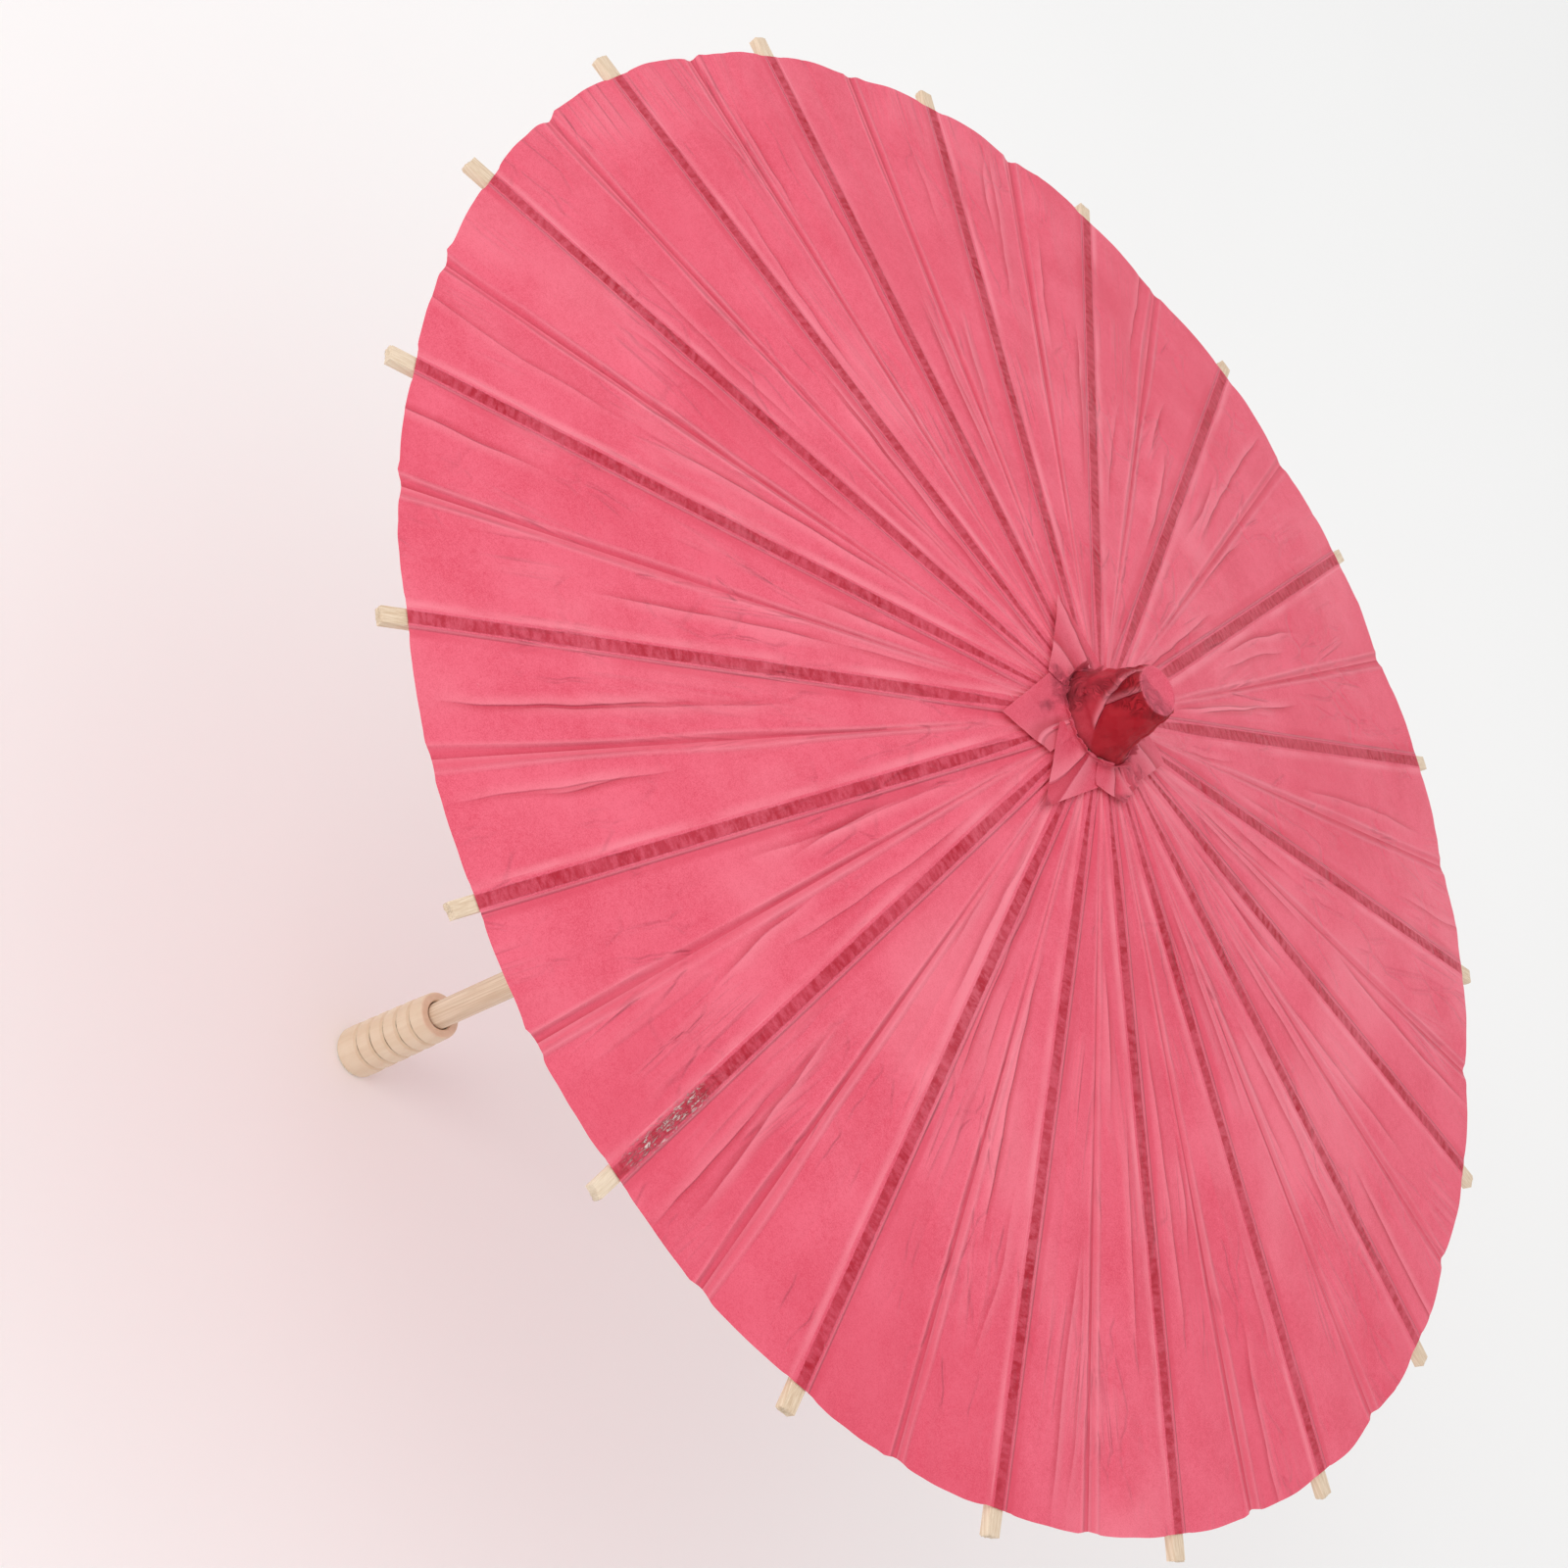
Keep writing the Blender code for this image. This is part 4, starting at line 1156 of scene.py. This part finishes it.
def build_stage(stage):
    """Floor, lights and camera."""
    scene = bpy.context.scene
    shape = bmesh.new()
    bmesh.ops.create_grid(shape, x_segments=8, y_segments=8, size=stage.floor_size / 2)
    floor = linked("studio_floor", finished(shape, "studio_floor"))
    floor.data.materials.append(material("pale_floor", pale_floor, stage))
    world = bpy.data.worlds.new("studio_air")
    world.use_nodes = True
    backdrop = world.node_tree.nodes["Background"]
    backdrop.inputs["Color"].default_value = (1.0, 1.0, 1.0, 1.0)
    backdrop.inputs["Strength"].default_value = stage.air
    scene.world = world
    middle, low = (0.0, 0.0, 0.25), (0.1, 0.1, 0.1)
    add_light("key_light", (0.80, 0.85, 1.25), middle, 0.7, stage.key, (1.0, 0.985, 0.97))
    add_light("top_light", (0.10, 0.35, 1.50), middle, 0.9, stage.top, (1.0, 1.0, 1.0))
    add_light("side_light", (1.25, 1.20, 0.45), low, 0.9, stage.side, (0.98, 0.99, 1.0))
    camera = linked("camera", bpy.data.cameras.new("camera"))
    camera.data.sensor_width = 36.0
    camera.data.lens = stage.lens
    camera.data.clip_start = 0.02
    camera.data.clip_end = 40.0
    back = Vector(CAMERA_BACK).normalized()
    up = back.cross(Vector(CAMERA_RIGHT).normalized()).normalized()
    turn = Matrix((up.cross(back), up, back)).transposed().to_4x4()
    camera.matrix_world = Matrix.Translation(CAMERA_SPOT) @ turn
    scene.camera = camera
    scene.view_settings.view_transform = "Standard"
    scene.view_settings.look = "None"


DULLNESS = {"subtype": "FACTOR", "min": 0.1, "max": 1.0}
SHARE = {"subtype": "FACTOR", "min": 0.0, "max": 1.0}
DEPTH = {"unit": "LENGTH", "precision": 5}
LIGHT = {"unit": "POWER", "min": 0.0}


def colour(name, description, default):
    kind = {"subtype": "COLOR", "size": 3, "min": 0.0, "max": 1.0}
    return FloatVectorProperty(name=name, description=description, default=default, **kind)


def number(name, description, default, **kind):
    return FloatProperty(name=name, description=description, default=default, **kind)


class UmbrellaPaper(bpy.types.PropertyGroup):
    """Colours and folds of the oiled paper."""

    colour: colour("Paper", "Dyed paper in full light", (0.86, 0.150, 0.225))
    # Deeper paper in the random tone, and painted shade beside the ribs and in the crease valleys
    deep_and_shade_colour: colour("Deep paper", "Paper with more dye and oil", (0.70, 0.068, 0.120))
    # Paler paper in the wash and along torn edges, and painted highlight on ridges, folds and
    # beside ribs and creases
    pale_and_highlight_colour: colour("Pale paper and highlight", "Paler paper and painted highlight", (0.95, 0.29, 0.36))
    # Glued paper over a rib, and painted shade: the rib seen through it, and the shaded side of
    # creases and folds
    rib_and_shade_colour: colour("Over ribs", "Paper where a rib shows through", (0.44, 0.010, 0.028))
    torn_colour: colour("Torn paper", "White core of torn paper, dried glue", (0.86, 0.62, 0.60))
    # Painted shadow in the tucks and gaps of the head cover, and the dark in the worn patch over a
    # rib
    shadow_and_tear_colour: colour("Contact shadow and tear", "Dark of a tuck or a tear", (0.13, 0.005, 0.012))
    # Paper wound in several turns, and painted shade on the side of the head cover
    layered_and_shade_colour: colour("Layered paper", "Several turns of paper", (0.40, 0.009, 0.018))
    glow_colour: colour("Light through", "Light that the paper lets through", (0.80, 0.09, 0.14))
    roughness: number("Roughness", "How dull the oiled surface is", 0.46, **DULLNESS)
    glow: number("See-through", "Share of light that the paper lets through", 0.09, **SHARE)
    relief: number("Relief", "Depth of the fine grain and rubbed creases", 0.0011, **DEPTH)
    ridge: number("Crease ridge", "Height of the ridges beside each crease", 0.00042, **DEPTH)
    billow: number("Billow", "How far a panel swells between rib and crease", 0.0010, **DEPTH)
    sag: number("Crease depth", "How far the rim hangs at the mid creases", 0.0008, **DEPTH)


class UmbrellaWood(bpy.types.PropertyGroup):
    """Colours of the bamboo and the turned wood."""

    bamboo: colour("Bamboo", "Flesh of split bamboo", (0.82, 0.66, 0.50))
    bamboo_dark: colour("Bamboo fibres", "Dark fibre bundles in the bamboo", (0.60, 0.42, 0.27))
    bamboo_pale: colour("Pale bamboo", "Palest slats", (0.88, 0.76, 0.62))
    bamboo_roughness: number("Bamboo roughness", "How dull bare bamboo is", 0.52, **DULLNESS)
    turned: colour("Turned wood", "Sanded pale wood", (0.79, 0.64, 0.47))
    turned_dark: colour("Turned wood grain", "Darker grain lines", (0.73, 0.56, 0.39))
    turned_pale: colour("Pale turned wood", "Palest parts of the grip", (0.87, 0.74, 0.58))
    turned_roughness: number("Wood roughness", "How dull the sanded wood is", 0.42, **DULLNESS)
    burn: colour("Burnt line", "Line burnt into each groove", (0.16, 0.085, 0.04))


class UmbrellaStage(bpy.types.PropertyGroup):
    """Floor, lights and camera."""

    floor_colour: colour("Floor", "Colour of the studio floor", (0.96, 0.96, 0.955))
    floor_size: number("Floor size", "Length of each side", 9.0, unit="LENGTH", min=1.0)
    air: number("Room light", "Brightness of the light from all round", 0.86, min=0.0)
    key: number("Key light", "Soft light in front and to the left", 5.2, **LIGHT)
    top: number("Top light", "Large soft light overhead", 1.2, **LIGHT)
    side: number("Side light", "Weak soft light beside the camera", 2.5, **LIGHT)
    lens: number("Lens", "Focal length of the camera", 81.7, unit="CAMERA", min=10.0)


class UMBRELLA_OT_canopy(bpy.types.Operator):
    """Build the paper disc, cut into pieces that ride on the ribs"""

    bl_idname = "umbrella.canopy"
    bl_label = "Paper Canopy"

    def execute(self, context):
        build_canopy(context.scene.umbrella_paper)
        return {"FINISHED"}


class UMBRELLA_OT_head_cover(bpy.types.Operator):
    """Build the wound paper cone over the hub and its skirt of petals"""

    bl_idname = "umbrella.head_cover"
    bl_label = "Head Cover"

    def execute(self, context):
        build_head_cover(context.scene.umbrella_paper)
        return {"FINISHED"}


class UMBRELLA_OT_ribs(bpy.types.Operator):
    """Finish the long ribs and add their roughly cut ends"""

    bl_idname = "umbrella.ribs"
    bl_label = "Ribs"

    def execute(self, context):
        build_ribs(context.scene.umbrella_wood)
        return {"FINISHED"}


class UMBRELLA_OT_stretchers(bpy.types.Operator):
    """Finish the stretchers between the runner and the ribs"""

    bl_idname = "umbrella.stretchers"
    bl_label = "Stretchers"

    def execute(self, context):
        build_stretchers(context.scene.umbrella_wood)
        return {"FINISHED"}


class UMBRELLA_OT_threads(bpy.types.Operator):
    """Tie the knotted threads through the joints of ribs and stretchers"""

    bl_idname = "umbrella.threads"
    bl_label = "Joint Threads"

    def execute(self, context):
        build_threads()
        return {"FINISHED"}


class UMBRELLA_OT_pole(bpy.types.Operator):
    """Build the slotted pole"""

    bl_idname = "umbrella.pole"
    bl_label = "Pole"

    def execute(self, context):
        build_pole(context.scene.umbrella_wood)
        return {"FINISHED"}


class UMBRELLA_OT_grip(bpy.types.Operator):
    """Build the turned grip with its burnt grooves"""

    bl_idname = "umbrella.grip"
    bl_label = "Grip"

    def execute(self, context):
        build_grip(context.scene.umbrella_wood)
        return {"FINISHED"}


class UMBRELLA_OT_hub(bpy.types.Operator):
    """Finish the hub, its wire ring and its peg"""

    bl_idname = "umbrella.hub"
    bl_label = "Hub"

    def execute(self, context):
        build_hub(context.scene.umbrella_wood)
        return {"FINISHED"}


class UMBRELLA_OT_runner(bpy.types.Operator):
    """Finish the runner and its wire ring"""

    bl_idname = "umbrella.runner"
    bl_label = "Runner"

    def execute(self, context):
        build_runner(context.scene.umbrella_wood)
        return {"FINISHED"}


class UMBRELLA_OT_catch(bpy.types.Operator):
    """Finish the bent wire catch"""

    bl_idname = "umbrella.catch"
    bl_label = "Catch"

    def execute(self, context):
        build_catch()
        return {"FINISHED"}


class UMBRELLA_OT_stage(bpy.types.Operator):
    """Set the floor, the lights and the camera"""

    bl_idname = "umbrella.stage"
    bl_label = "Stage"

    def execute(self, context):
        build_stage(context.scene.umbrella_stage)
        return {"FINISHED"}


class UMBRELLA_PT_sidebar(bpy.types.Panel):
    """Lists every step and every setting"""

    bl_idname = "UMBRELLA_PT_sidebar"
    bl_label = "Oil Paper Umbrella"
    bl_space_type = "VIEW_3D"
    bl_region_type = "UI"
    bl_category = "Umbrella"

    def draw(self, context):
        layout = self.layout
        for step in STEPS:
            layout.operator(step.bl_idname)
        for group in ("umbrella_paper", "umbrella_wood", "umbrella_stage"):
            settings = getattr(context.scene, group)
            box = layout.box()
            for name in settings.__annotations__:
                box.prop(settings, name)


STEPS = (
    UMBRELLA_OT_canopy,
    UMBRELLA_OT_head_cover,
    UMBRELLA_OT_ribs,
    UMBRELLA_OT_stretchers,
    UMBRELLA_OT_threads,
    UMBRELLA_OT_pole,
    UMBRELLA_OT_grip,
    UMBRELLA_OT_hub,
    UMBRELLA_OT_runner,
    UMBRELLA_OT_catch,
    UMBRELLA_OT_stage,
)
GROUPS = (UmbrellaPaper, UmbrellaWood, UmbrellaStage)


def register():
    for item in (*GROUPS, *STEPS, UMBRELLA_PT_sidebar):
        bpy.utils.register_class(item)
    bpy.types.Scene.umbrella_paper = PointerProperty(type=UmbrellaPaper)
    bpy.types.Scene.umbrella_wood = PointerProperty(type=UmbrellaWood)
    bpy.types.Scene.umbrella_stage = PointerProperty(type=UmbrellaStage)


def unregister():
    del bpy.types.Scene.umbrella_stage
    del bpy.types.Scene.umbrella_wood
    del bpy.types.Scene.umbrella_paper
    for item in reversed((*GROUPS, *STEPS, UMBRELLA_PT_sidebar)):
        bpy.utils.unregister_class(item)


def main():
    register()
    for step in STEPS:
        group, name = step.bl_idname.split(".")
        getattr(getattr(bpy.ops, group), name)()


if __name__ == "__main__":
    main()
